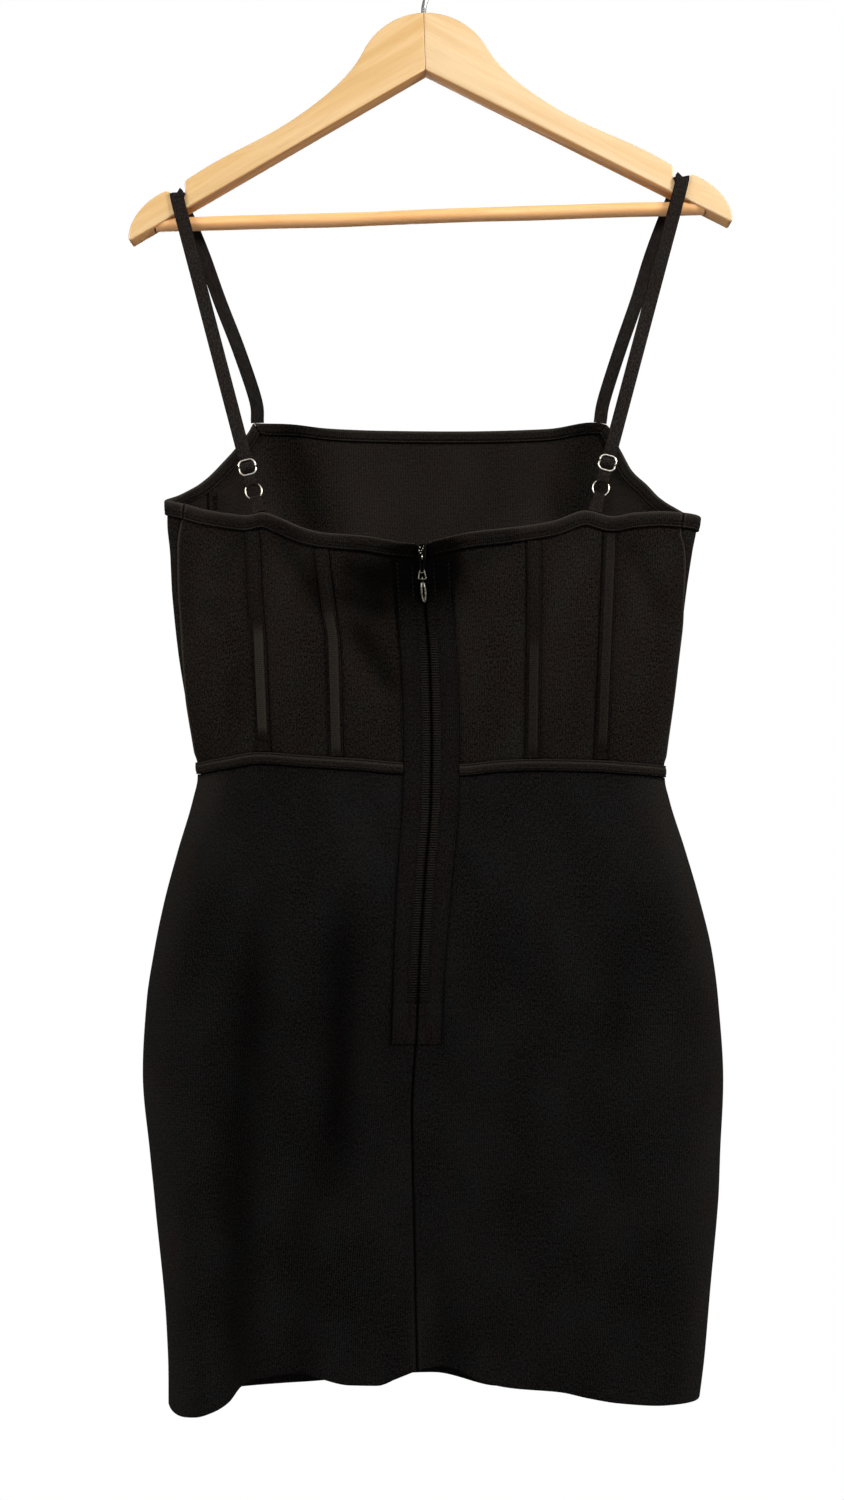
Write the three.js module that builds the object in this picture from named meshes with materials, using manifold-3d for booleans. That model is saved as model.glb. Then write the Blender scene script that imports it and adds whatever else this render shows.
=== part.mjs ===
// Sleeveless bodycon dress in black bandage knit, hung by its shoulder straps on a wooden hanger.
// Millimetres, +Z up. The zipped back faces -Y, so +X is to the right of someone looking at the back.
// Left and right in names are that viewer's. The origin is the highest point inside the hook.

import * as THREE from "three";
import { mergeVertices } from "three/addons/utils/BufferGeometryUtils.js";
import Module from "manifold-3d";

const wasm = await Module();
wasm.setup();
const { clamp, degToRad, lerp, smoothstep } = THREE.MathUtils;

// Driving dimensions of the cloth
const DRESS_X = 8.8; // the dress hangs this far right of the hook
const KNIT = 1.6; // double-knit wall
const TRIM = 1.2; // bands, plackets and straps
const SEAM_GAP = 0.3;
const LAY_GAP = 0.35; // under what lies on a panel
const BAND_OUTSIDE = 11.5;
const BAND_INSIDE = 9;
const WAIST_BAND = 8.8;
const BONE_WIDTH = 10;
const PLACKET_WIDTH = 20;
const PLACKET_FOOT_WIDTH = 17.5;
const PLACKET_BOTTOM = -815;
const ZIP_BOTTOM = -785;
const ZIP_TAPE_WIDTH = 12;
const ZIP_HALF_OPENING = 4; // from the centre line to each end of the neck band
const STRAP_WIDTH = 10;

// Driving dimensions of the hanger, in its own frame: u to the right, w up
const HANGER_TILT = degToRad(1.8); // the left arm hangs lower
const HANGER_THICKNESS = 12;
const HANGER_EDGE = 1.2;
const HUMP_TOP = -61.5;
const HUMP_RADIUS = 52;
const CROTCH = -103.4; // top of the V between the arms
const ARM_SLOPE = 0.5395;
const NOTCH_U = 185;
const NOTCH_FLOOR = -190;
const NOTCH_WIDTH = 10.4;
const BAR_W = -209.5;
const BAR_RADIUS = 5;
const BAR_END = 203;
const HOOK_RADIUS = 21; // centre line of the wire
const HOOK_WIRE = 1.9;
const HOOK_FOOT = -76;

// Driving dimensions of the strap hardware and the zip
const RING_RADIUS = 5.95;
const RING_WIRE = 0.85;
const ADJUSTER = { width: 14.5, height: 13.4, bar: 1.9, thickness: 1.8 };
const ZIP_SLIDER = { width: 6, height: 12.5, thickness: 2.4, z: -463.5 };
const ZIP_TAPE = 1;
const ZIP_LINK = { top: 4.5, foot: 6.4, length: 16.5, straight: 8.5, thickness: 1.2, bar: 1.1 };
const ZIP_DROP = { length: 18.3, overlap: 1.2, thickness: 2.2, edge: 0.45 };

const cloth = new THREE.MeshStandardMaterial({ color: 0x171412, roughness: 0.92, metalness: 0 });
const trim = new THREE.MeshStandardMaterial({ color: 0x151313, roughness: 0.85, metalness: 0 });
const wood = new THREE.MeshStandardMaterial({ color: 0xebc485, roughness: 0.45, metalness: 0 });
const barWood = new THREE.MeshStandardMaterial({ color: 0xd8aa78, roughness: 0.5, metalness: 0 });
const silver = new THREE.MeshStandardMaterial({ color: 0xd8d4cc, roughness: 0.2, metalness: 1 });
const gunmetal = new THREE.MeshStandardMaterial({ color: 0x2c2b2c, roughness: 0.3, metalness: 1 });

const part = new THREE.Group();

function addMesh(name, geometry, material, parent = part) {
  const mesh = new THREE.Mesh(geometry, material);
  mesh.name = name;
  parent.add(mesh);
  return mesh;
}

// A smooth line through rows of [key, value], sorted by key, that never overshoots a row.
function smoothLine(rows) {
  const keys = rows.map((row) => row[0]);
  const values = rows.map((row) => row[1]);
  const steps = keys.slice(1).map((key, i) => (values[i + 1] - values[i]) / (key - keys[i]));
  const slopes = keys.map((_, i) => {
    const before = steps[Math.max(0, i - 1)];
    const after = steps[Math.min(steps.length - 1, i)];
    return before * after > 0 ? (2 * before * after) / (before + after) : 0;
  });
  return (key) => {
    const k = clamp(key, keys[0], keys[keys.length - 1]);
    const above = keys.findIndex((other) => other > k);
    const i = above === -1 ? keys.length - 2 : above - 1;
    const width = keys[i + 1] - keys[i];
    const t = (k - keys[i]) / width;
    const rise = values[i + 1] - values[i];
    const bend = t * t * (3 - 2 * t);
    const ease = t * (1 - t) * width;
    return values[i] + rise * bend + ease * ((1 - t) * slopes[i] - t * slopes[i + 1]);
  };
}

// Sections of the hung dress, hem to shoulder: height, half width, shift to the right, and how far
// the back and the front stand out from the hanger's plane.
const SECTION_COLUMNS = ["z", "half", "shift", "back", "front"];
const SECTION_ROWS = [
  [-1095, 196.2, 0.0, 25, 27],
  [-1050, 199.2, 2.5, 26.5, 28.5],
  [-1013, 201.8, 3.0, 28, 30],
  [-939, 208.8, 2.6, 30, 32],
  [-902, 211.4, 1.5, 31, 33],
  [-846, 215.1, 0.0, 32, 34],
  [-790, 211.8, -0.4, 31.5, 33.5],
  [-753, 206.6, 0.0, 30.5, 32.5],
  [-716, 198.4, -0.6, 28, 31],
  [-679, 188.1, -1.0, 25, 28],
  [-642, 176.9, -1.4, 20.5, 23.5],
  [-621, 172.7, -1.5, 18.5, 21.5],
  [-605, 174.9, -1.9, 20, 23.5],
  [-568, 180.7, -2.6, 24, 28],
  [-531, 185.8, -3.3, 27, 33],
  [-494, 190.0, -3.0, 28, 36],
  [-457, 193.8, -1.3, 24.5, 37.5],
  [-438, 196.5, -0.5, 22.5, 38],
  [-425, 197.0, 0.0, 21.5, 38],
  [-350, 197.0, 0.0, 21.5, 30],
];
const section = Object.fromEntries(
  SECTION_COLUMNS.slice(1).map((name, i) => [
    name,
    smoothLine(SECTION_ROWS.map((row) => [row[0], row[i + 1]])),
  ]),
);

// Creases as troughs from (x1, z1) to (x2, z2), x from the middle of the dress: how far the line bows
// to the left of its run, half its width, and its depth into the cloth (a negative one stands out).
const CREASE_COLUMNS = ["x1", "z1", "x2", "z2", "bow", "width", "depth"];
const BACK_CREASES = [
  [-118.6, -680, -137.4, -1130, -13, 17, 6.0],
  [-68, -706, -74, -930, 3, 14, 5.5],
  [-92, -905, -90, -1130, -5, 15, 4.0],
  [-1, -955, 24, -1130, 0, 13, 3.2],
  [123, -636, 128, -860, 4, 18, 2.6],
  [20.7, -637, 30, -720, 0, 11, 2.2],
  [-53.6, -636, -29.8, -686, 0, 10, 2.4],
  [-139.7, -446, -160.8, -488, 0, 10, 2.4],
  [-118.7, -446, -79, -510, 4, 11, 3.0],
  [-68, -470, -34.3, -487, 0, 11, 2.2],
  [-71.4, -494, -31.4, -507, 0, 9, 2.0],
  [-60, -513, -26.3, -566, 0, 11, 3.4],
  [-22, -467, 22, -467, 0, 24, 2.2],
  [26.7, -470, 60, -455, 0, 10, 2.0],
  [135, -446, 172, -514, 3, 12, 2.6],
  [-172, -499, -152, -512, 0, 9, 1.5],
  [-145, -550, -145, -590, 0, 10, 1.6],
].map(asCrease);
const FRONT_CREASES = [
  [-118, -340, -86, -455, 4, 17, 5.0],
  [124, -340, 112, -440, -4, 16, 4.5],
  [-60, -640, -75, -900, 5, 20, 3.0],
  [70, -650, 92, -1130, -8, 22, 3.5],
].map(asCrease);
const STIFF_HALF = 16; // the plackets keep creases this far from the centre line
const STIFF_FROM = [475, 505]; // and do so from this far down
const STIFF_TO = [-835, -805];

function asCrease(row) {
  return Object.fromEntries(CREASE_COLUMNS.map((name, i) => [name, row[i]]));
}

function creaseDepth(creases, x, z) {
  return creases.reduce((sum, c) => {
    const dx = c.x2 - c.x1;
    const dz = c.z2 - c.z1;
    const length = Math.hypot(dx, dz);
    const along = ((x - c.x1) * dx + (z - c.z1) * dz) / length ** 2;
    const bow = 4 * c.bow * along * (1 - along);
    const across = ((x - c.x1) * dz - (z - c.z1) * dx) / length + bow;
    const ends = smoothstep(along, -0.15, 0.25) * smoothstep(1 - along, -0.15, 0.25);
    return sum + c.depth * ends * Math.exp(-((across / c.width) ** 2));
  }, 0);
}

// The centre back line: height and x
const CENTRE_BACK = smoothLine([
  [-1050, -12.3],
  [-943, -13.8],
  [-868, -15],
  [-817, -12.4],
  [-764, -10.3],
  [-697, -6.2],
  [-641, -1.8],
  [-600, -1.2],
  [-543, -2.8],
  [-498, -6.2],
  [-455, -8.5],
]);

// A point of the cloth's outer face. The angle runs from the right side over the back (a quarter
// turn), the left side and the front.
function skin(angle, z) {
  const onBack = Math.sin(angle) >= 0;
  const c = Math.cos(angle);
  const s = Math.abs(Math.sin(angle));
  const x = section.shift(z) + section.half(z) * c;
  const depth = (onBack ? section.back(z) : section.front(z)) * s * (1 + 0.25 * c * c);
  const fromCentre = Math.abs(x - CENTRE_BACK(z));
  const besidePlacket = smoothstep(-z, ...STIFF_FROM) * smoothstep(z, ...STIFF_TO);
  const stiff = onBack ? besidePlacket * (1 - smoothstep(fromCentre, STIFF_HALF, 2 * STIFF_HALF)) : 0;
  const crease = creaseDepth(onBack ? BACK_CREASES : FRONT_CREASES, x, z);
  const y = depth - crease * (1 - stiff) * smoothstep(s, 0.25, 0.6);
  return new THREE.Vector3(x + DRESS_X, onBack ? -y : y, z);
}

const PROBE_ANGLE = 0.004;
const PROBE_Z = 0.5;

function skinNormal(angle, z) {
  const across = skin(angle + PROBE_ANGLE, z).sub(skin(angle - PROBE_ANGLE, z));
  const up = skin(angle, z + PROBE_Z).sub(skin(angle, z - PROBE_Z));
  return up.cross(across).normalize();
}

// A point that stands out from the cloth's outer face, or lies inside it where out is negative.
function cover(angle, z, out) {
  return skin(angle, z).addScaledVector(skinNormal(angle, z), out);
}

// Millimetres along the section for each radian of the angle
function pace(angle, z) {
  return skin(angle + PROBE_ANGLE, z).distanceTo(skin(angle - PROBE_ANGLE, z)) / (2 * PROBE_ANGLE);
}

function angleAt(x, z, side) {
  const turn = Math.acos(clamp((x - section.shift(z)) / section.half(z), -1, 1));
  return side === "back" ? turn : 2 * Math.PI - turn;
}

// A line drawn round the dress from rows of [x, z] read left to right along its back and its front
function lineRound(backRows, frontRows) {
  const back = [...backRows].reverse().map(([x, z]) => [angleAt(x, z, "back"), z]);
  const front = frontRows.map(([x, z]) => [angleAt(x, z, "front"), z]);
  const once = [...back, ...front].filter(([angle], i, all) => !i || angle - all[i - 1][0] > 1e-3);
  const shifted = (turns) => once.map(([angle, z]) => [angle + turns * 2 * Math.PI, z]);
  const tidy = [...shifted(-1), ...once, ...shifted(1)]
    .filter(([angle], i, all) => !i || angle - all[i - 1][0] > 1e-3);
  return smoothLine(tidy);
}

// The upper edge of the dress: across the back, up the armholes and along the front neck
const topEdge = lineRound(
  [
    [-197, -418.8],
    [-183, -424.2],
    [-165.7, -429.5],
    [-147.3, -433.1],
    [-135.2, -434.5],
    [-124.2, -432.5],
    [-109, -437.5],
    [-94.5, -443.9],
    [-79.3, -447.8],
    [-50, -450.4],
    [-35.2, -453],
    [-20, -455.4],
    [-8.5, -455.6],
    [3, -452.8],
    [27.7, -447.5],
    [50, -444.8],
    [70.8, -442.2],
    [85.6, -439.4],
    [110.9, -431.3],
    [129.8, -435.3],
    [147, -432.2],
    [169.8, -430.5],
    [197, -431.6],
  ],
  [
    [-192.5, -414.4],
    [-180.7, -406],
    [-171.4, -398],
    [-157.7, -383],
    [-148.4, -372.3],
    [-140.4, -362],
    [-136.2, -355.8],
    [-107.3, -357],
    [-74.7, -358.6],
    [-37, -359.6],
    [21.4, -360],
    [87.2, -358.8],
    [121.2, -355.8],
    [131.2, -357],
    [143.7, -376],
    [152.9, -392],
    [163.6, -402.7],
    [172.6, -413],
    [181.5, -420.3],
    [193, -429],
  ],
);

const waistLine = lineRound(
  [
    [-172.7, -623],
    [-153.3, -619.5],
    [-124.3, -615.2],
    [-94.5, -617.3],
    [-50.2, -620.2],
    [-23.4, -622.6],
    [18.7, -623.9],
    [49.9, -621],
    [72.4, -620.2],
    [116.7, -621],
    [146.4, -623.1],
    [172.7, -625.6],
  ],
  [
    [-150, -623],
    [0, -622],
    [150, -625],
  ],
);

const hemLine = lineRound(
  [
    [-196.6, -1089],
    [-184.5, -1093.6],
    [-173.8, -1092.3],
    [-159.4, -1086.9],
    [-148.8, -1080.3],
    [-139.9, -1068.7],
    [-132.5, -1063],
    [-103.7, -1056.3],
    [-81.1, -1059],
    [-60.1, -1062.4],
    [-40.6, -1062.5],
    [-22.6, -1055.4],
    [-0.9, -1048.4],
    [16.4, -1051.7],
    [31.5, -1058.5],
    [55.3, -1064.2],
    [91.6, -1068],
    [111.5, -1073],
    [133.8, -1077.8],
    [170, -1082.6],
    [196.6, -1084.3],
  ],
  [
    [-190, -1089],
    [-100, -1087],
    [0, -1081],
    [50, -1091],
    [120, -1087],
    [190, -1084.5],
  ],
);

// How steeply the upper edge runs, taken over a short reach so that its corners are mitred
const EDGE_REACH = 12;

function edgeRun(angle) {
  const turn = EDGE_REACH / pace(angle, topEdge(angle));
  const offSide = smoothstep(Math.abs(Math.sin(angle)), 0.3, 0.5);
  const rise = (topEdge(angle + turn) - topEdge(angle - turn)) * offSide;
  const length = Math.hypot(2 * EDGE_REACH, rise);
  return { rise: rise / length, level: (2 * EDGE_REACH) / length };
}

// A point this far down from the upper edge, square to it but upright at the sides, this far out
// of the cloth and this far aside
function underEdge(angle, drop, out, aside = 0) {
  const z = topEdge(angle);
  const run = edgeRun(angle);
  const shift = (drop * run.rise + aside) / pace(angle, z);
  return cover(angle + shift, z - drop * run.level, out);
}

// Closed solid of triangles, turned so that its faces point out
function closedSolid(points, triangles) {
  const volume = triangles.reduce(
    (sum, [a, b, c]) => sum + points[a].dot(new THREE.Vector3().crossVectors(points[b], points[c])),
    0,
  );
  const outward = triangles.map(([a, b, c]) => (volume < 0 ? [a, c, b] : [a, b, c]));
  const geometry = new THREE.BufferGeometry().setFromPoints(points);
  geometry.setIndex(outward.flat());
  geometry.computeVertexNormals();
  return geometry;
}

// A wall of columns by rows, each point given on its outer face (side 0) and inner face (side 1)
function wall(columns, rows, pointAt) {
  const points = [];
  const triangles = [];
  const at = (side, i, j) => (side * (rows + 1) + j) * (columns + 1) + i;
  const quad = (a, b, c, d) => triangles.push([a, b, c], [a, c, d]);
  for (const side of [0, 1])
    for (let j = 0; j <= rows; j++)
      for (let i = 0; i <= columns; i++) points.push(pointAt(i, j, side));
  for (let j = 0; j < rows; j++)
    for (let i = 0; i < columns; i++) {
      quad(at(0, i, j), at(0, i + 1, j), at(0, i + 1, j + 1), at(0, i, j + 1));
      quad(at(1, i, j), at(1, i, j + 1), at(1, i + 1, j + 1), at(1, i + 1, j));
    }
  for (let i = 0; i < columns; i++) {
    quad(at(0, i, 0), at(1, i, 0), at(1, i + 1, 0), at(0, i + 1, 0));
    quad(at(0, i, rows), at(0, i + 1, rows), at(1, i + 1, rows), at(1, i, rows));
  }
  for (let j = 0; j < rows; j++) {
    quad(at(0, 0, j), at(0, 0, j + 1), at(1, 0, j + 1), at(1, 0, j));
    quad(at(0, columns, j), at(1, columns, j), at(1, columns, j + 1), at(0, columns, j + 1));
  }
  return closedSolid(points, triangles);
}

// Seams of the bodice: the angle at a height. The ridge seams run into the sides on their way to
// the waist, the right one sooner.
const ridgeRightTurn = smoothLine([
  [-621, 0.05],
  [-525, 0.07],
  [-504, 0.166],
  [-493, 0.194],
  [-482, 0.229],
  [-468, 0.3],
  [-460, 0.365],
  [-440, 0.38],
]);
const ridgeLeftTurn = smoothLine([
  [-621, 0.05],
  [-578, 0.1],
  [-556, 0.19],
  [-541, 0.227],
  [-519, 0.258],
  [-498, 0.268],
  [-476, 0.285],
  [-461, 0.345],
  [-440, 0.4],
]);
const frontSeamX = smoothLine([
  [-621, 148],
  [-440, 168],
]);
const boneLines = {
  outerRight: [[-621, 122], [-513, 125], [-447, 127.4]],
  innerRight: [[-621, 71.8], [-447, 72.5]],
  innerLeft: [[-621, -70], [-527, -72], [-505, -75], [-456, -81]],
  outerLeft: [[-621, -122.3], [-535, -125], [-505, -128], [-446, -131.7]],
};
const seam = {
  frontRight: (z) => angleAt(frontSeamX(z), z, "front") - 2 * Math.PI,
  ridgeRight: (z) => ridgeRightTurn(z),
  centre: (z) => angleAt(CENTRE_BACK(z), z, "back"),
  ridgeLeft: (z) => Math.PI - ridgeLeftTurn(z),
  frontLeft: (z) => angleAt(-frontSeamX(z), z, "front"),
  frontEnd: (z) => angleAt(frontSeamX(z), z, "front"),
};
for (const [name, rows] of Object.entries(boneLines)) {
  const line = smoothLine(rows);
  seam[name] = (z) => angleAt(line(z), z, "back");
}

// Rows of the bodice as shares of its height. The first lies under the waist band and the last
// under the neck band, so that each band follows the faces of the panel below it.
const BODICE_ROWS = [0, 0.053, 0.15, 0.25, 0.35, 0.45, 0.55, 0.65, 0.75, 0.85, 0.93, 1];
const LAST_ROW = BODICE_ROWS.length - 1;
const BODICE_FOOT = -621;
const BODICE_HEIGHT = 176;
const UNDER_FOLD = 0.2; // spare height in the neck band's fold
const OVER_WAIST_BAND = 0.6; // how far off the bands the rows beside them lie
const UNDER_NECK_BAND = 1;

function bodiceSeamHeight(row) {
  return BODICE_FOOT + BODICE_HEIGHT * BODICE_ROWS[row];
}

function bodiceZ(angle, row) {
  const level = edgeRun(angle).level;
  const top = topEdge(angle) - (TRIM + SEAM_GAP + UNDER_FOLD) / level;
  const underBand = topEdge(angle) - (BAND_OUTSIDE + UNDER_NECK_BAND) / level;
  const foot = waistLine(angle) + SEAM_GAP / 2;
  const overBand = waistLine(angle) + WAIST_BAND + OVER_WAIST_BAND;
  if (row === 0) return foot;
  if (row === LAST_ROW) return top;
  const share = BODICE_ROWS[row] - BODICE_ROWS[1];
  return lerp(overBand, underBand, share / (BODICE_ROWS[LAST_ROW - 1] - BODICE_ROWS[1]));
}

const even = (count) => Array.from({ length: count + 1 }, (_, i) => i / count);
// Closer together where the cloth turns round the side
const RIGHT_TURN = [0, 0.167, 0.311, 0.422, 0.5, 0.556, 0.611, 0.678, 0.744, 0.833, 1];
const LEFT_TURN = RIGHT_TURN.map((share) => 1 - share).reverse();
const closeAtEnds = (share) => lerp(share, 0.5 - 0.5 * Math.cos(Math.PI * share), 0.5);
const BODICE_PANELS = [
  { name: "bodice_side_right", from: "frontRight", to: "ridgeRight", columns: RIGHT_TURN },
  { name: "bodice_back_side_right", from: "ridgeRight", to: "outerRight", columns: even(7) },
  { name: "bodice_back_middle_right", from: "outerRight", to: "innerRight", columns: even(6) },
  { name: "bodice_back_centre_right", from: "innerRight", to: "centre", columns: even(10) },
  { name: "bodice_back_centre_left", from: "centre", to: "innerLeft", columns: even(9) },
  { name: "bodice_back_middle_left", from: "innerLeft", to: "outerLeft", columns: even(6) },
  { name: "bodice_back_side_left", from: "outerLeft", to: "ridgeLeft", columns: even(7) },
  { name: "bodice_side_left", from: "ridgeLeft", to: "frontLeft", columns: LEFT_TURN },
  { name: "bodice_front", from: "frontLeft", to: "frontEnd", columns: even(32).map(closeAtEnds) },
];

// The front's columns are spread over its width, the others' over the angle.
function panelAngle(panel, share, row) {
  const z = bodiceSeamHeight(row);
  const from = seam[panel.from](z);
  const to = seam[panel.to](z);
  if (panel.name === "bodice_front")
    return 2 * Math.PI - Math.acos(lerp(Math.cos(from), Math.cos(to), share));
  return lerp(from, to, share);
}

function buildBodicePanel(panel) {
  const last = panel.columns.length - 1;
  const pointAt = (i, row, side) => {
    const angle = panelAngle(panel, panel.columns[i], row);
    const inset = i === 0 ? 1 : i === last ? -1 : 0;
    const shifted = angle + (inset * SEAM_GAP) / 2 / pace(angle, bodiceZ(angle, row));
    return cover(shifted, bodiceZ(shifted, row), side ? -KNIT : 0);
  };
  addMesh(panel.name, wall(last, LAST_ROW, pointAt), cloth);
}
BODICE_PANELS.forEach(buildBodicePanel);

// Angles of the bodice's columns at a row, between two angles and with both ends
function columnAngles(row, from, to) {
  const margin = 0.004;
  const all = BODICE_PANELS.flatMap((panel) =>
    panel.columns.slice(0, -1).map((share) => panelAngle(panel, share, row)),
  );
  const round = [...all, ...all.map((angle) => angle + 2 * Math.PI)];
  return [from, ...round.filter((a) => a > from + margin && a < to - margin), to];
}

// Skirt: two back halves that meet at the centre seam, and the front
const SKIRT_ROWS = 10;
const SKIRT_TURN = [0, 0.06, 0.13, 0.21, 0.3, 0.4];
const SKIRT_BACK_COLUMNS = 24;
const SKIRT_FRONT_COLUMNS = 20;
const SKIRT_FOOT = -1070;

function skirtSeamHeight(row) {
  return lerp(BODICE_FOOT, SKIRT_FOOT, row / SKIRT_ROWS);
}

// Angles from a side seam to the centre seam, or to the other side: near a side they close up
function skirtAngles(side, row, count) {
  const edge = SKIRT_TURN[SKIRT_TURN.length - 1];
  const centre = seam.centre(skirtSeamHeight(row));
  const spread = (from, to, turnBack) =>
    even(count).slice(1).map((share) => {
      const turn = Math.acos(lerp(Math.cos(from), Math.cos(to), share));
      return turnBack ? 2 * Math.PI - turn : turn;
    });
  if (side === "right") return [...SKIRT_TURN, ...spread(edge, centre, false)];
  if (side === "left") {
    const mirrored = SKIRT_TURN.map((turn) => Math.PI - turn).reverse();
    return [centre, ...spread(centre, Math.PI - edge, false), ...mirrored.slice(1)];
  }
  const far = SKIRT_TURN.map((turn) => 2 * Math.PI - turn).reverse();
  const near = SKIRT_TURN.map((turn) => Math.PI + turn);
  return [...near, ...spread(Math.PI - edge, edge, true), ...far.slice(1)];
}

function skirtZ(angle, row) {
  return lerp(waistLine(angle) - SEAM_GAP / 2, hemLine(angle), row / SKIRT_ROWS);
}

function buildSkirtPanel(name, side, count) {
  const last = skirtAngles(side, 0, count).length - 1;
  const pointAt = (i, row, face) => {
    const angle = skirtAngles(side, row, count)[i];
    const inset = i === 0 ? 1 : i === last ? -1 : 0;
    const shifted = angle + (inset * SEAM_GAP) / 2 / pace(angle, skirtZ(angle, row));
    return cover(shifted, skirtZ(shifted, row), face ? -KNIT : 0);
  };
  addMesh(name, wall(last, SKIRT_ROWS, pointAt), cloth);
}
buildSkirtPanel("skirt_back_right", "right", SKIRT_BACK_COLUMNS);
buildSkirtPanel("skirt_back_left", "left", SKIRT_BACK_COLUMNS);
buildSkirtPanel("skirt_front", "front", SKIRT_FRONT_COLUMNS);

// Bindings folded over the upper edge: how far out of the cloth and down from the edge each corner
// of the fold lies, on the binding's outer face and on its inner face
const FOLD_OUTER = [
  { out: LAY_GAP + TRIM, drop: BAND_OUTSIDE },
  { out: LAY_GAP + TRIM, drop: 0.6 },
  { out: 0.3, drop: 0 },
  { out: -KNIT - 0.3, drop: 0 },
  { out: -KNIT - LAY_GAP - TRIM, drop: 0.6 },
  { out: -KNIT - LAY_GAP - TRIM, drop: BAND_INSIDE },
];
const FOLD_INNER = [
  { out: LAY_GAP, drop: BAND_OUTSIDE },
  { out: LAY_GAP, drop: 1.5 },
  { out: 0.2, drop: TRIM },
  { out: -KNIT - 0.2, drop: TRIM },
  { out: -KNIT - LAY_GAP, drop: 1.5 },
  { out: -KNIT - LAY_GAP, drop: BAND_INSIDE },
];

function buildBinding(name, from, to, ease = 0) {
  const angles = columnAngles(LAST_ROW, from, to);
  const last = angles.length - 1;
  const pointAt = (i, j, side) => {
    const corner = (side ? FOLD_INNER : FOLD_OUTER)[j];
    const inset = i === 0 ? 1 : i === last ? -1 : 0;
    const out = corner.out + (corner.out > 0 ? ease : -ease);
    return underEdge(angles[i], corner.drop, out, (inset * SEAM_GAP) / 2);
  };
  addMesh(name, wall(last, FOLD_OUTER.length - 1, pointAt), trim);
}
const ARMHOLE_EASE = 0.35; // more room where the binding crosses the panel's rows
const NECK_Z = -456;
const centreTop = seam.centre(NECK_Z);
const openingTurn = ZIP_HALF_OPENING / pace(centreTop, NECK_Z);
const cornerLeft = angleAt(-136.2, -356, "front");
const cornerRight = angleAt(131.2, -357, "front");
const RIDGE_TOP = -440;
const underarmLeft = seam.ridgeLeft(RIDGE_TOP);
const underarmRight = seam.ridgeRight(RIDGE_TOP);
buildBinding("neck_band_back_right", underarmRight, centreTop - openingTurn);
buildBinding("neck_band_back_left", centreTop + openingTurn, underarmLeft);
buildBinding("armhole_band_left", underarmLeft, cornerLeft, ARMHOLE_EASE);
buildBinding("neck_band_front", cornerLeft, cornerRight);
buildBinding("armhole_band_right", cornerRight, 2 * Math.PI + underarmRight, ARMHOLE_EASE);

// Waist band: a flat tape on the bodice, its foot on the waist seam, that stops at the plackets
const PLACKET_FULL_Z = -640; // the plackets have their full width from here up

function placketHalf(z) {
  return lerp(PLACKET_FOOT_WIDTH, PLACKET_WIDTH, smoothstep(z, PLACKET_BOTTOM, PLACKET_FULL_Z));
}

function buildWaistBand(name, from, to) {
  const angles = [0, 1].map((row) => columnAngles(row, from, to));
  const last = Math.min(angles[0].length, angles[1].length) - 1;
  const pointAt = (i, row, side) => {
    const list = angles[row];
    const angle = i === last ? list[list.length - 1] : list[i];
    const inset = i === 0 ? 1 : i === last ? -1 : 0;
    const foot = waistLine(angle) + SEAM_GAP / 2;
    const shifted = angle + (inset * SEAM_GAP) / 2 / pace(angle, foot);
    return cover(shifted, waistLine(shifted) + SEAM_GAP / 2 + row * WAIST_BAND, LAY_GAP + (side ? 0 : TRIM));
  };
  addMesh(name, wall(last, 1, pointAt), trim);
}
const centreWaist = seam.centre(BODICE_FOOT);
const placketTurn = (placketHalf(BODICE_FOOT) + SEAM_GAP) / pace(centreWaist, BODICE_FOOT);
buildWaistBand("waist_band_back_right", 0, centreWaist - placketTurn);
buildWaistBand("waist_band_back_left", centreWaist + placketTurn, Math.PI);
buildWaistBand("waist_band_front", Math.PI, 2 * Math.PI);

// Boning channels: crowned tapes over the four back seams, between the neck band and the waist band
const BONE_CROWN = 0.7;

function buildBoneChannel(name, seamName) {
  const pointAt = (i, j, side) => {
    const row = j + 1;
    const middle = seam[seamName](bodiceSeamHeight(row));
    const z = bodiceZ(middle, row);
    const across = i / 2 - 0.5;
    const angle = middle - (across * BONE_WIDTH) / pace(middle, z);
    const crown = i === 1 ? BONE_CROWN : 0;
    const trimmed = z + (row === 1 ? SEAM_GAP : 0) - (row === LAST_ROW - 1 ? SEAM_GAP : 0);
    return cover(angle, trimmed, LAY_GAP + (side ? 0 : TRIM + crown));
  };
  addMesh(name, wall(2, LAST_ROW - 2, pointAt), trim);
}
buildBoneChannel("bone_channel_outer_right", "outerRight");
buildBoneChannel("bone_channel_inner_right", "innerRight");
buildBoneChannel("bone_channel_inner_left", "innerLeft");
buildBoneChannel("bone_channel_outer_left", "outerLeft");

// Heights down the centre back, from the rows of the bodice and then of the skirt
function centreHeights(top, bottom) {
  const bodice = BODICE_ROWS.map((_, row) => bodiceZ(seam.centre(bodiceSeamHeight(row)), row));
  const skirt = even(SKIRT_ROWS).map((_, row) => skirtZ(seam.centre(skirtSeamHeight(row)), row));
  const inside = [...bodice.reverse(), ...skirt].filter((z) => z < top - 1 && z > bottom + 1);
  return [top, ...inside, bottom];
}

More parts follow.
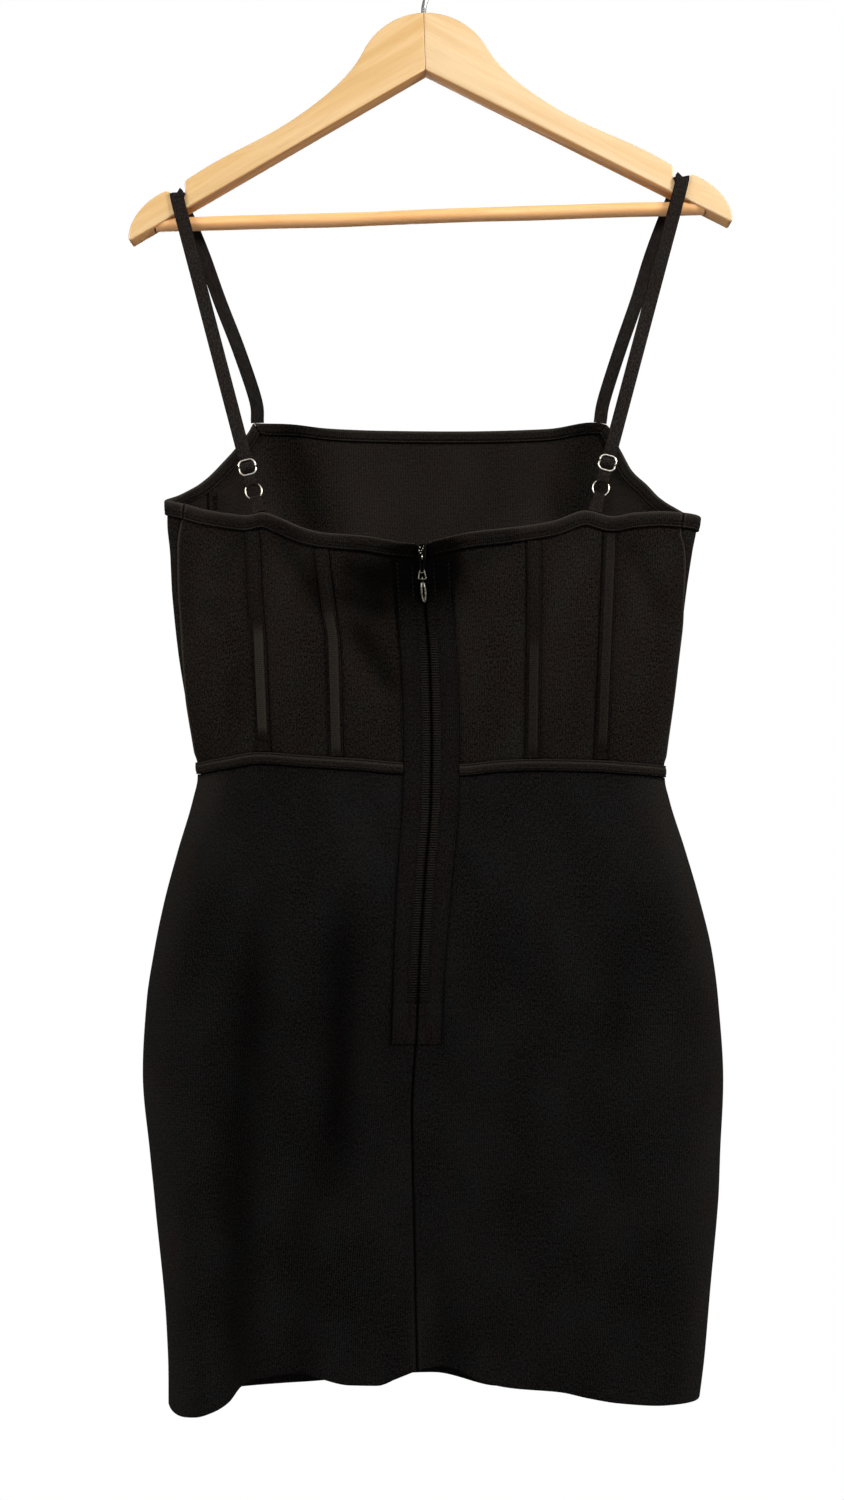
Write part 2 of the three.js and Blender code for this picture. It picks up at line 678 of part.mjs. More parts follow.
// A strip beside the centre back line: sign +1 runs it to the left, -1 to the right
function buildCentreStrip(name, sign, heights, halfAt, columns, outs) {
  const pointAt = (i, j, side) => {
    const middle = seam.centre(heights[j]);
    const across = SEAM_GAP / 2 + (halfAt(heights[j]) - SEAM_GAP / 2) * (i / columns);
    const angle = middle + (sign * across) / pace(middle, heights[j]);
    const underBand = topEdge(angle) - (BAND_OUTSIDE + SEAM_GAP) / edgeRun(angle).level;
    return cover(angle, Math.min(heights[j], underBand), outs[side]);
  };
  addMesh(name, wall(columns, heights.length - 1, pointAt), trim);
}
const placketTop = topEdge(centreTop) - BAND_OUTSIDE - SEAM_GAP;
const placketHeights = centreHeights(placketTop, PLACKET_BOTTOM);
const TAPE_UNDER_BAND = 3;
const tapeHeights = centreHeights(placketTop - TAPE_UNDER_BAND, ZIP_BOTTOM);
const placketOuts = [LAY_GAP + TRIM, LAY_GAP];
const tapeOuts = [-KNIT - LAY_GAP, -KNIT - LAY_GAP - ZIP_TAPE];
for (const [side, sign] of [["right", -1], ["left", 1]]) {
  buildCentreStrip("placket_" + side, sign, placketHeights, placketHalf, 3, placketOuts);
  buildCentreStrip("zip_tape_" + side, sign, tapeHeights, () => ZIP_TAPE_WIDTH, 2, tapeOuts);
}

// Solids that are cut or joined
function asManifold(geometry, matrix = new THREE.Matrix4()) {
  const bare = geometry.index ? geometry.toNonIndexed() : geometry.clone();
  for (const name of Object.keys(bare.attributes)) if (name !== "position") bare.deleteAttribute(name);
  const merged = mergeVertices(bare.applyMatrix4(matrix), 1e-3);
  return new wasm.Manifold(
    new wasm.Mesh({
      numProp: 3,
      vertProperties: merged.attributes.position.array,
      triVerts: new Uint32Array(merged.index.array),
    }),
  );
}

function asGeometry(solid) {
  const mesh = solid.getMesh();
  const geometry = new THREE.BufferGeometry();
  geometry.setAttribute("position", new THREE.BufferAttribute(mesh.vertProperties, 3));
  geometry.setIndex(new THREE.BufferAttribute(mesh.triVerts, 1));
  geometry.computeVertexNormals();
  return geometry;
}

// A flat plate in its shape's plane, with its thickness centred on that plane
function plate(shape, thickness, edge = 0, curveSegments = 6) {
  const geometry = new THREE.ExtrudeGeometry(shape, {
    depth: thickness - 2 * edge,
    bevelEnabled: edge > 0,
    bevelSize: edge,
    bevelThickness: edge,
    bevelOffset: -edge,
    bevelSegments: 2,
    curveSegments,
  });
  return geometry.translate(0, 0, edge - thickness / 2);
}

function roundedBar(path, width, height, radius) {
  const x = width / 2;
  const y = height / 2;
  path.moveTo(-x + radius, -y);
  path.lineTo(x - radius, -y);
  path.quadraticCurveTo(x, -y, x, -y + radius);
  path.lineTo(x, y - radius);
  path.quadraticCurveTo(x, y, x - radius, y);
  path.lineTo(-x + radius, y);
  path.quadraticCurveTo(-x, y, -x, y - radius);
  path.lineTo(-x, -y + radius);
  path.quadraticCurveTo(-x, -y, -x + radius, -y);
  return path;
}

// Hanger: two arms glued at the centre, from one outline that is cut in half
const hanger = new THREE.Group();
hanger.rotation.y = -HANGER_TILT;
part.add(hanger);

// Curves of the right arm's outline, each from where the last one ends: two handles and an end
const HUMP_TURN = degToRad(27.6);
const SHOULDER_BENDS = [
  [[56.2, -109], [86, -130.7], [112.5, -145]],
  [[125, -151.5], [138, -157.2], [150, -163]],
  [[160, -168], [169, -173], [177.5, -178.4]],
  [[179.6, -179.6], [180.4, -181], [180.1, -183.5]],
];
const TIP_BENDS = [
  [[190.6, -188.2], [192, -186.8], [195, -187.2]],
  [[212, -194], [222.5, -209], [222.9, -221.5]],
];
const TIP_FOOT = 221.9;

// The right half of the upper outline, from the hump to the tip, mirrored by sign -1
function drawArm(shape, sign) {
  const humpCentre = HUMP_TOP - HUMP_RADIUS;
  const arcSteps = 6;
  const arc = even(arcSteps).map((share) => {
    const angle = lerp(Math.PI / 2, HUMP_TURN, share);
    return [HUMP_RADIUS * Math.cos(angle), humpCentre + HUMP_RADIUS * Math.sin(angle)];
  });
  const forward = [
    ...arc.slice(1).map((point) => ["line", point]),
    ...SHOULDER_BENDS.map((bend) => ["bend", ...bend]),
    ["line", [NOTCH_U - NOTCH_WIDTH / 2, NOTCH_FLOOR]],
    ["line", [NOTCH_U + NOTCH_WIDTH / 2, NOTCH_FLOOR]],
    ...TIP_BENDS.map((bend) => ["bend", ...bend]),
    ["line", [TIP_FOOT, CROTCH - ARM_SLOPE * TIP_FOOT]],
  ];
  if (sign > 0) {
    for (const [kind, ...p] of forward)
      if (kind === "line") shape.lineTo(...p[0]);
      else shape.bezierCurveTo(...p[0], ...p[1], ...p[2]);
    return;
  }
  for (let i = forward.length - 1; i >= 0; i--) {
    const [kind, ...p] = forward[i];
    const before = i > 0 ? forward[i - 1][forward[i - 1].length - 1] : [0, HUMP_TOP];
    const mirror = ([u, w]) => [-u, w];
    if (i === forward.length - 1) shape.lineTo(...mirror(p[p.length - 1]));
    if (kind === "line") shape.lineTo(...mirror(before));
    else shape.bezierCurveTo(...mirror(p[1]), ...mirror(p[0]), ...mirror(before));
  }
}

function cylinderAlong(radius, from, to, sides) {
  const start = new THREE.Vector3(...from);
  const run = new THREE.Vector3(...to).sub(start);
  const turn = new THREE.Quaternion().setFromUnitVectors(
    new THREE.Vector3(0, 1, 0),
    run.clone().normalize(),
  );
  const middle = start.addScaledVector(run, 0.5);
  const matrix = new THREE.Matrix4().compose(middle, turn, new THREE.Vector3(1, 1, 1));
  return new THREE.CylinderGeometry(radius, radius, run.length(), sides).applyMatrix4(matrix);
}

const BORE = { from: 150, beyond: 1.5 }; // the bar's seat, bored in from under the arm
const SOCKET = { below: 1, top: -50 }; // the hook's
const SAW_CUT = { height: 100, middle: -85 }; // parts the two arms

function buildHanger() {
  const outline = new THREE.Shape();
  outline.moveTo(0, HUMP_TOP);
  drawArm(outline, 1);
  outline.lineTo(0, CROTCH);
  drawArm(outline, -1);
  const board = plate(outline, HANGER_THICKNESS, HANGER_EDGE, 5);
  const upright = new THREE.Matrix4().makeRotationX(Math.PI / 2);
  const cut = new THREE.BoxGeometry(SEAM_GAP, 4 * HANGER_THICKNESS, SAW_CUT.height);
  cut.translate(0, 0, SAW_CUT.middle);
  const socketFoot = [0, 0, HOOK_FOOT - SOCKET.below];
  const socket = cylinderAlong(HOOK_WIRE + SEAM_GAP, socketFoot, [0, 0, SOCKET.top], 12);
  let solid = asManifold(board, upright).subtract(asManifold(cut)).subtract(asManifold(socket));
  for (const side of [-1, 1]) {
    const from = [side * BORE.from, 0, BAR_W];
    const to = [side * (BAR_END + BORE.beyond), 0, BAR_W];
    solid = solid.subtract(asManifold(cylinderAlong(BAR_RADIUS + SEAM_GAP, from, to, 16)));
  }
  const halves = solid.decompose().filter((half) => half.volume() > 1);
  for (const half of halves) {
    const box = half.boundingBox();
    const side = box.max[0] > HUMP_RADIUS ? "right" : "left";
    addMesh("hanger_arm_" + side, asGeometry(half), wood, hanger);
  }
  const bar = cylinderAlong(BAR_RADIUS, [-BAR_END, 0, BAR_W], [BAR_END, 0, BAR_W], 14);
  addMesh("hanger_bar", bar, barWood, hanger);
}
buildHanger();

// Hook: wire that rises from its socket, sways aside and turns over the rail
function buildHook() {
  const centre = HOOK_WIRE - HOOK_RADIUS;
  const arcFrom = -60;
  const arcTo = 200;
  const arcStep = 20;
  const points = [
    [0, HOOK_FOOT],
    [0, -64],
    [0.4, -54],
    [3.6, -45.5],
  ];
  for (let degrees = arcFrom; degrees <= arcTo; degrees += arcStep) {
    const angle = degToRad(degrees);
    points.push([HOOK_RADIUS * Math.cos(angle), centre + HOOK_RADIUS * Math.sin(angle)]);
  }
  const path = new THREE.CatmullRomCurve3(points.map(([u, w]) => new THREE.Vector3(u, 0, w)));
  const sides = 8;
  const wire = new THREE.Shape(
    even(sides).slice(1).map((share) => {
      const angle = share * 2 * Math.PI;
      return new THREE.Vector2(HOOK_WIRE * Math.cos(angle), HOOK_WIRE * Math.sin(angle));
    }),
  );
  const geometry = new THREE.ExtrudeGeometry(wire, { extrudePath: path, steps: 34 });
  addMesh("hanger_hook", geometry, silver, hanger);
}
buildHook();

// Flat ribbon along a path of points, its width square to the path as near as can be to acrossAt
function ribbon(path, widthAt, acrossAt, thickness) {
  const last = path.length - 1;
  const frames = path.map((point, j) => {
    const along = path[Math.min(last, j + 1)].clone().sub(path[Math.max(0, j - 1)]).normalize();
    const across = acrossAt(j);
    const wide = across.clone().addScaledVector(along, -across.dot(along)).normalize();
    return { point, wide, normal: new THREE.Vector3().crossVectors(along, wide) };
  });
  return wall(1, last, (i, j, side) => {
    const frame = frames[j];
    return frame.point
      .clone()
      .addScaledVector(frame.wide, (i - 0.5) * widthAt(j))
      .addScaledVector(frame.normal, (side - 0.5) * thickness);
  });
}

// From the hanger's frame to the part's
function fromHanger(u, y, w) {
  return new THREE.Vector3(
    u * Math.cos(HANGER_TILT) - w * Math.sin(HANGER_TILT),
    y,
    u * Math.sin(HANGER_TILT) + w * Math.cos(HANGER_TILT),
  );
}

// Rows of the straps and tabs: how far up, how far behind the hardware's plane, and how wide
const RING_TURN = 2.25; // the cloth's middle from the wire's
const RING_FOLD = [0, 30, 60, 90, 120, 150, 180].map((degrees) => {
  const angle = degToRad(degrees);
  return [RING_TURN * Math.sin(angle), RING_TURN * Math.cos(angle), 4.6];
});
const FROM_SEWN_END = [
  [0, 1.8, 9],
  [-1.5, 2.4, 9],
  [-3.5, 3.4, 9],
];
const TO_RING = [
  [5.45, 3.45, 8.4],
  [2.65, 2.9, 6.4],
];
const FROM_RING = [
  [1.25, -1.8, 6],
  [2.25, -0.4, 7.4],
  [3.15, 0.9, 8.6],
  [4.15, 1.8, 9.6],
];
const ROUND_BAR = [
  [-5.8, 1.95, 10],
  [-4.8, 1.9, 10],
  [-4.1, 1.45, 10],
  [-2.9, 0, 10],
  [-1.7, -1.45, 10],
  [-0.9, -1.9, 10],
  [0, -1.95, 10],
  [0.9, -1.9, 10],
  [1.7, -1.45, 10],
  [2.9, 0, 10],
  [4.1, 1.45, 10],
  [4.8, 1.9, 10],
  [5.8, 1.95, 10],
  [7.5, 1.7, 10],
  [11, 0.8, 10],
  [17, 0, 10],
];
const TAB_SIDE = [
  [0.4, 0.8, 11],
  [4, 0.9, 9],
  [7, 1.7, 6],
];

function rowsAbove(height, rows) {
  return rows.map(([up, behind, width]) => ({ up: height + up, behind, width }));
}

// The strap from its sewn end at the adjuster down to the ring and back through the adjuster
function strapRows(ringUp, adjusterUp) {
  const ringTop = ringUp + RING_RADIUS;
  const fold = RING_FOLD.map(([down, behind, width]) => [-down, behind, width]);
  return [
    ...rowsAbove(adjusterUp, FROM_SEWN_END),
    ...rowsAbove(ringTop, [...TO_RING, ...fold, ...FROM_RING]),
    ...rowsAbove(adjusterUp, ROUND_BAR),
  ];
}

// The tab from the neck band up through the ring and back
function tabRows(ringUp) {
  const side = rowsAbove(0, TAB_SIDE);
  const nearSide = side.map((row) => ({ ...row, behind: -row.behind }));
  const fold = rowsAbove(ringUp - RING_RADIUS, RING_FOLD);
  return [...nearSide, ...fold.reverse(), ...side.reverse()];
}

// Each strap: x of its back tab and its front end on the dress, how far its ring and its adjuster
// are above the neck band, and the front leg's way up
const STRAPS = [
  {
    side: "left",
    sign: -1,
    tabX: -126.3,
    frontX: -133.5,
    ringUp: 16.4,
    adjusterUp: 34.6,
    frontLeg: [
      [-125.9, 21, -339],
      [-138.1, 18, -302],
      [-152, 14.6, -266],
      [-165, 11, -229.5],
    ],
  },
  {
    side: "right",
    sign: 1,
    tabX: 117,
    frontX: 127.2,
    ringUp: 18.2,
    adjusterUp: 37.4,
    frontLeg: [
      [139, 21, -339],
      [150.5, 18, -302],
      [162.8, 14.6, -266],
      [174.1, 11, -229.5],
    ],
  },
];
const STRAP_SEAT = SEAM_GAP + TRIM / 2; // the strap's middle above what it lies on
const tiltAcross = new THREE.Vector3(Math.cos(HANGER_TILT), 0, Math.sin(HANGER_TILT));

function buildStrap(strap) {
  const u = strap.sign * NOTCH_U;
  const reach = HANGER_THICKNESS / 2 - HANGER_EDGE;
  const turn = HANGER_EDGE + STRAP_SEAT;
  const over = (degrees, front) => {
    const angle = degToRad(degrees);
    const y = reach + turn * Math.cos(angle);
    return fromHanger(u, front * y, NOTCH_FLOOR - HANGER_EDGE + turn * Math.sin(angle));
  };
  const tabAngle = angleAt(strap.tabX, -433, "back");
  const tabTop = underEdge(tabAngle, 0, -KNIT / 2);
  const legTop = fromHanger(u, -(HANGER_THICKNESS / 2 + STRAP_SEAT + 0.3), NOTCH_FLOOR - 6);
  const up = legTop.clone().sub(tabTop).normalize();
  const wide = tiltAcross.clone().addScaledVector(up, -tiltAcross.dot(up)).normalize();
  const behind = new THREE.Vector3().crossVectors(up, wide).normalize();
  if (behind.y < 0) behind.negate();
  const local = (s, o) => tabTop.clone().addScaledVector(up, s).addScaledVector(behind, o);

  const frontEnd = underEdge(angleAt(strap.frontX, -356, "front"), -SEAM_GAP, -KNIT / 2);
  const rows = strapRows(strap.ringUp, strap.adjusterUp);
  const path = [
    ...rows.map((row) => local(row.up, row.behind)),
    ...[90, 135, 180].map((s) => local(s, 0)),
    legTop,
    ...[10, 45, 80].map((degrees) => over(degrees, -1)),
    ...[80, 45, 10].map((degrees) => over(degrees, 1)),
    ...strap.frontLeg.map((point) => new THREE.Vector3(...point)).reverse(),
    frontEnd,
  ];
  const widths = path.map((_, j) => (j < rows.length ? rows[j].width : STRAP_WIDTH));
  const acrossAt = (j) => (j < rows.length ? wide : tiltAcross);
  const strapShape = ribbon(path, (j) => widths[j], acrossAt, TRIM);
  addMesh("strap_" + strap.side, strapShape, trim);

  const sewnRows = tabRows(strap.ringUp);
  const tabPath = sewnRows.map((row) => local(row.up, row.behind));
  const tab = ribbon(tabPath, (j) => sewnRows[j].width, () => wide, TRIM);
  addMesh("strap_tab_" + strap.side, tab, trim);

  const outward = new THREE.Vector3().crossVectors(wide, up);
  const toPlace = (s) => new THREE.Matrix4().makeBasis(wide, up, outward).setPosition(local(s, 0));
  const ring = new THREE.TorusGeometry(RING_RADIUS, RING_WIRE, 7, 18);
  addMesh("strap_ring_" + strap.side, ring, silver).applyMatrix4(toPlace(strap.ringUp));
  const adjuster = plate(adjusterShape(), ADJUSTER.thickness, 0, 3);
  const adjusterPlace = toPlace(strap.adjusterUp);
  addMesh("strap_adjuster_" + strap.side, adjuster, silver).applyMatrix4(adjusterPlace);
}

function adjusterShape() {
  const shape = roundedBar(new THREE.Shape(), ADJUSTER.width, ADJUSTER.height, 2.6);
  const windowHeight = (ADJUSTER.height - 3 * ADJUSTER.bar) / 2;
  const windowWidth = STRAP_WIDTH + 2 * SEAM_GAP;
  for (const sign of [-1, 1]) {
    const middle = (sign * (windowHeight + ADJUSTER.bar)) / 2;
    const hole = new THREE.Path();
    hole.moveTo(-windowWidth / 2, middle - windowHeight / 2);
    hole.lineTo(-windowWidth / 2, middle + windowHeight / 2);
    hole.lineTo(windowWidth / 2, middle + windowHeight / 2);
    hole.lineTo(windowWidth / 2, middle - windowHeight / 2);
    shape.holes.push(hole);
  }
  return shape;
}
STRAPS.forEach(buildStrap);

// Zip slider between the ends of the neck band, with a bail that carries the pull
const sliderAngle = seam.centre(ZIP_SLIDER.z);
const SLIDER_LIFT = LAY_GAP + TRIM + 0.5; // just clear of the plackets
const sliderTop = cover(sliderAngle, ZIP_SLIDER.z + 6, 0);
const sliderFoot = cover(sliderAngle, ZIP_SLIDER.z - 6, 0);
const sliderLean = Math.atan2(sliderTop.y - sliderFoot.y, sliderTop.z - sliderFoot.z);
const BAIL = { radius: 1.75, hole: 1, width: 1.6, stand: 1.6, down: 4.6 };

// Its frame: x across, z up along the cloth and y into it, so that the outer face is at -y
const slider = new THREE.Group();
slider.position.copy(skin(sliderAngle, ZIP_SLIDER.z));
slider.rotation.x = -sliderLean;
part.add(slider);
const hingeY = -(SLIDER_LIFT + ZIP_SLIDER.thickness + BAIL.stand);
const hingeZ = -BAIL.down;

function buildZipSlider() {
  const body = roundedBar(new THREE.Shape(), ZIP_SLIDER.width, ZIP_SLIDER.height, 1.6);
  const toFront = new THREE.Matrix4()
    .makeRotationX(Math.PI / 2)
    .setPosition(0, -(SLIDER_LIFT + ZIP_SLIDER.thickness / 2), 0);
  const bodySolid = asManifold(plate(body, ZIP_SLIDER.thickness, 0.4, 3), toFront);
  const bail = new THREE.Shape();
  bail.absarc(0, 0, BAIL.radius, -Math.PI / 2, Math.PI / 2, false);
  bail.lineTo(-BAIL.stand - 0.3, BAIL.radius);
  bail.lineTo(-BAIL.stand - 0.3, -BAIL.radius);
  bail.holes.push(new THREE.Path().absarc(0, 0, BAIL.hole, 0, 2 * Math.PI, true));
  const turned = new THREE.Matrix4().makeBasis(
    new THREE.Vector3(0, -1, 0),
    new THREE.Vector3(0, 0, 1),
    new THREE.Vector3(-1, 0, 0),
  );
  turned.setPosition(0, hingeY, hingeZ);
  const solid = bodySolid.add(asManifold(plate(bail, BAIL.width, 0, 6), turned));
  addMesh("zip_slider", asGeometry(solid), gunmetal, slider);
}
buildZipSlider();

// The pull hangs from the bail's pin: a tapered link with a crossbar, and a drop fixed to its foot.
// It rests with the drop just clear of the plackets.
const pull = new THREE.Group();
pull.position.set(0, hingeY, hingeZ);
slider.add(pull);
slider.updateMatrixWorld(true);
const hinge = pull.getWorldPosition(new THREE.Vector3());
const PULL_LENGTH = ZIP_LINK.length + ZIP_DROP.length - 2;
const PULL_LIFT = LAY_GAP + TRIM + 0.7 + ZIP_DROP.thickness / 2;
const pullEnd = cover(sliderAngle, hinge.z - PULL_LENGTH, PULL_LIFT);
pull.rotation.x = sliderLean + Math.atan2(pullEnd.y - hinge.y, hinge.z - pullEnd.z);

// Half of the drop's outline: half width and how far below its top
const DROP_OUTLINE = [
  [1.0, 0],
  [1.1, 2.2],
  [1.8, 4.6],
  [2.25, 8.5],
  [2.1, 13],
  [1.6, 16.6],
  [0.8, 18.3],
];
const CROSSBAR = { up: 4.7, half: 0.55 }; // of the link, above its foot

function buildZipPull() {
  const top = ZIP_LINK.bar / 2;
  const foot = top - ZIP_LINK.length;
  const flare = top - ZIP_LINK.straight;
  const crossbar = foot + CROSSBAR.up;
  const halfAt = (z) => lerp(ZIP_LINK.foot, ZIP_LINK.top, clamp((z - foot) / (flare - foot), 0, 1)) / 2;
  // The link's outline, or a window in it, through these heights from its foot up
  const band = (heights, inset) => {
    const rightSide = heights.map((z) => new THREE.Vector2(halfAt(z) - inset, z));
    const leftSide = heights.map((z) => new THREE.Vector2(inset - halfAt(z), z)).reverse();
    return new THREE.Shape([...rightSide, ...leftSide]);
  };
  const windows = [
    [foot + ZIP_LINK.bar, crossbar - CROSSBAR.half],
    [crossbar + CROSSBAR.half, flare, top - ZIP_LINK.bar],
  ];
  const upright = new THREE.Matrix4().makeRotationX(Math.PI / 2);
  const right = DROP_OUTLINE.map(([half, down]) => new THREE.Vector2(half, -down));
  const left = DROP_OUTLINE.map(([half, down]) => new THREE.Vector2(-half, -down)).reverse();
  const drop = new THREE.Shape([...right, ...left]);
  const dropPlace = upright.clone().setPosition(0, 0, foot + ZIP_DROP.overlap);
  let solid = asManifold(plate(band([foot, flare, top], 0), ZIP_LINK.thickness), upright);
  for (const heights of windows) {
    const opening = plate(band(heights, ZIP_LINK.bar), 2 * ZIP_LINK.thickness);
    solid = solid.subtract(asManifold(opening, upright));
  }
  solid = solid.add(asManifold(plate(drop, ZIP_DROP.thickness, ZIP_DROP.edge), dropPlace));
  addMesh("zip_pull", asGeometry(solid), gunmetal, pull);
}
buildZipPull();

export default part;
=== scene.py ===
import math

import bmesh
import bpy
import numpy as np
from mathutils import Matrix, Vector


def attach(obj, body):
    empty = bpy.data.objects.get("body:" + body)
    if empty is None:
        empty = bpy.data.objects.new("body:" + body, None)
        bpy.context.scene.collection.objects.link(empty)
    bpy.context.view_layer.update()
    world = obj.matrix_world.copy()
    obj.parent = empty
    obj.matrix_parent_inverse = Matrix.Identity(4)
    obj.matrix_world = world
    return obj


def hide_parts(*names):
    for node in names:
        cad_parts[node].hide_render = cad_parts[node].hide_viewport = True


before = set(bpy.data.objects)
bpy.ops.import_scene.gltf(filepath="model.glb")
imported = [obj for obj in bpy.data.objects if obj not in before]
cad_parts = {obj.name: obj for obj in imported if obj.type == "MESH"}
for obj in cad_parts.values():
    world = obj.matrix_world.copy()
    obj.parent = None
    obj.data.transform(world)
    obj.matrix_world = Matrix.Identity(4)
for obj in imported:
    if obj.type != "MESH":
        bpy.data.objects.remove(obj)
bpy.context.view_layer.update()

# Camera: level with the middle of the dress, square to its zipped back and near enough that the
# undersides of the hanger's arms show. Depth of field stays off.
CAMERA_PLACE = (0.00065, -0.836, -0.605)
CAMERA_LENS = 27.05
CAMERA_SENSOR = 36

camera_data = bpy.data.cameras.new("camera")
camera_data.lens = CAMERA_LENS
camera_data.sensor_width = CAMERA_SENSOR
camera = bpy.data.objects.new("camera", camera_data)
camera.location = CAMERA_PLACE
camera.rotation_euler = (math.radians(90), 0, 0)
bpy.context.scene.collection.objects.link(camera)
bpy.context.scene.camera = camera

# Bodice: nine panels of black double knit, cut and sewn edge to edge round the body. The four back
# seams lie under boning channels, the side panels meet the back at a raised ridge, and the front is
# serged to them. Sizes are in millimetres here, and become metres where a mesh is made.
MM = 0.001
TURN = 2 * math.pi
DRESS_X = 8.8
KNIT = 1.6
TRIM = 1.2
SEAM_GAP = 0.3
LAY_GAP = 0.35
BAND_OUTSIDE = 11.5
BAND_INSIDE = 9
WAIST_BAND = 8.8
BODICE_FOOT = -621
BODICE_HEIGHT = 176
# Shares of the bodice's height at which the waist band ends and the neck's binding begins
UNDER_WAIST_BAND = 0.053
UNDER_NECK_BAND = 0.93


def smoothstep(value, low, high):
    t = np.clip((value - low) / (high - low), 0, 1)
    return t * t * (3 - 2 * t)


def smooth_line(rows):
    """A smooth line through rows of (key, value), sorted by key, that never overshoots a row."""
    keys, values = np.array(rows, float).T
    steps = np.diff(values) / np.diff(keys)
    before = np.concatenate([steps[:1], steps])
    after = np.concatenate([steps, steps[-1:]])
    same_way = before * after > 0
    slopes = np.where(same_way, 2 * before * after / np.where(same_way, before + after, 1), 0)

    def at(key):
        k = np.clip(key, keys[0], keys[-1])
        i = np.clip(np.searchsorted(keys, k, side="right") - 1, 0, len(keys) - 2)
        width = keys[i + 1] - keys[i]
        t = (k - keys[i]) / width
        rise = values[i + 1] - values[i]
        ease = t * (1 - t) * width
        return values[i] + rise * t * t * (3 - 2 * t) + ease * ((1 - t) * slopes[i] - t * slopes[i + 1])

    return at


# Sections of the hung dress: height, half width, shift to the right, and how far the back and the
# front stand out from the hanger's plane
SECTIONS = np.array([
    (-1095, 196.2, 0.0, 25, 27),
    (-1050, 199.2, 2.5, 26.5, 28.5),
    (-1013, 201.8, 3.0, 28, 30),
    (-939, 208.8, 2.6, 30, 32),
    (-902, 211.4, 1.5, 31, 33),
    (-846, 215.1, 0.0, 32, 34),
    (-790, 211.8, -0.4, 31.5, 33.5),
    (-753, 206.6, 0.0, 30.5, 32.5),
    (-716, 198.4, -0.6, 28, 31),
    (-679, 188.1, -1.0, 25, 28),
    (-642, 176.9, -1.4, 20.5, 23.5),
    (-621, 172.7, -1.5, 18.5, 21.5),
    (-605, 174.9, -1.9, 20, 23.5),
    (-568, 180.7, -2.6, 24, 28),
    (-531, 185.8, -3.3, 27, 33),
    (-494, 190.0, -3.0, 28, 36),
    (-457, 193.8, -1.3, 24.5, 37.5),
    (-438, 196.5, -0.5, 22.5, 38),
    (-425, 197.0, 0.0, 21.5, 38),
    (-350, 197.0, 0.0, 21.5, 30),
])
half_width, shift, back_depth, front_depth = (smooth_line(SECTIONS[:, [0, k]]) for k in range(1, 5))

# Creases as troughs from (x1, z1) to (x2, z2), x from the middle of the dress: how far the line
# bows to the left of its run, half its width, and its depth into the cloth
BACK_CREASES = [
    (-118.6, -680, -137.4, -1130, -13, 17, 6.0),
    (-68, -706, -74, -930, 3, 14, 5.5),
    (-92, -905, -90, -1130, -5, 15, 4.0),
    (-1, -955, 24, -1130, 0, 13, 3.2),
    (123, -636, 128, -860, 4, 18, 2.6),
    (20.7, -637, 30, -720, 0, 11, 2.2),
    (-53.6, -636, -29.8, -686, 0, 10, 2.4),
    (-139.7, -446, -160.8, -488, 0, 10, 2.4),
    (-118.7, -446, -79, -510, 4, 11, 3.0),
    (-68, -470, -34.3, -487, 0, 11, 2.2),
    (-71.4, -494, -31.4, -507, 0, 9, 2.0),
    (-60, -513, -26.3, -566, 0, 11, 3.4),
    (-22, -467, 22, -467, 0, 24, 2.2),
    (26.7, -470, 60, -455, 0, 10, 2.0),
    (135, -446, 172, -514, 3, 12, 2.6),
    (-172, -499, -152, -512, 0, 9, 1.5),
    (-145, -550, -145, -590, 0, 10, 1.6),
]
FRONT_CREASES = [
    (-118, -340, -86, -455, 4, 17, 5.0),
    (124, -340, 112, -440, -4, 16, 4.5),
    (-60, -640, -75, -900, 5, 20, 3.0),
    (70, -650, 92, -1130, -8, 22, 3.5),
]
CENTRE_BACK = smooth_line([
    (-1050, -12.3),
    (-943, -13.8),
    (-868, -15),
    (-817, -12.4),
    (-764, -10.3),
    (-697, -6.2),
    (-641, -1.8),
    (-600, -1.2),
    (-543, -2.8),
    (-498, -6.2),
    (-455, -8.5),
])
# Where the back sags inward: x and z of the middle, half width, half height and how dark its painted shade
# gets
SAGS = [
    (-6, -476, 36, 28, 0.75),
    (-52, -482, 40, 26, 0.35),
    (-36, -512, 26, 30, 0.25),
    (30, -498, 24, 26, 0.2),
    (-8, -466, 22, 18, 0.5),
    (-60, -830, 80, 110, 0.25),
    (40, -880, 70, 120, 0.15),
]
STIFF_HALF = 16
STIFF_FROM = (475, 505)
STIFF_TO = (-835, -805)
PUCKER = {"height": 0.35, "reach": 15, "pitch": 3.9, "drift": 27}


def crease_depth(creases, x, z):
    depth = 0
    for x1, z1, x2, z2, bow, width, deep in creases:
        dx, dz = x2 - x1, z2 - z1
        length = math.hypot(dx, dz)
        along = ((x - x1) * dx + (z - z1) * dz) / length**2
        across = ((x - x1) * dz - (z - z1) * dx) / length + 4 * bow * along * (1 - along)
        ends = smoothstep(along, -0.15, 0.25) * smoothstep(1 - along, -0.15, 0.25)
        depth = depth + deep * ends * np.exp(-((across / width) ** 2))
    return depth


def crease_shade(angle, z):
    """Painted shade: how much darker the knit is painted in the creases and, round the zip's head, in the
    sag.
    """
    x = shift(z) + half_width(z) * np.cos(angle)
    on_back = np.sin(angle) >= 0
    depth = np.where(on_back, crease_depth(BACK_CREASES, x, z), crease_depth(FRONT_CREASES, x, z))
    sag = 0
    for sag_x, sag_z, wide, tall, dark in SAGS:
        sag = sag + dark * np.exp(-(((x - sag_x) / wide) ** 2) - ((z - sag_z) / tall) ** 2)
    on_bodice = smoothstep(z, BODICE_FOOT - 10, BODICE_FOOT)
    return -(0.08 + 0.06 * on_bodice) * depth - np.where(on_back, sag, 0)


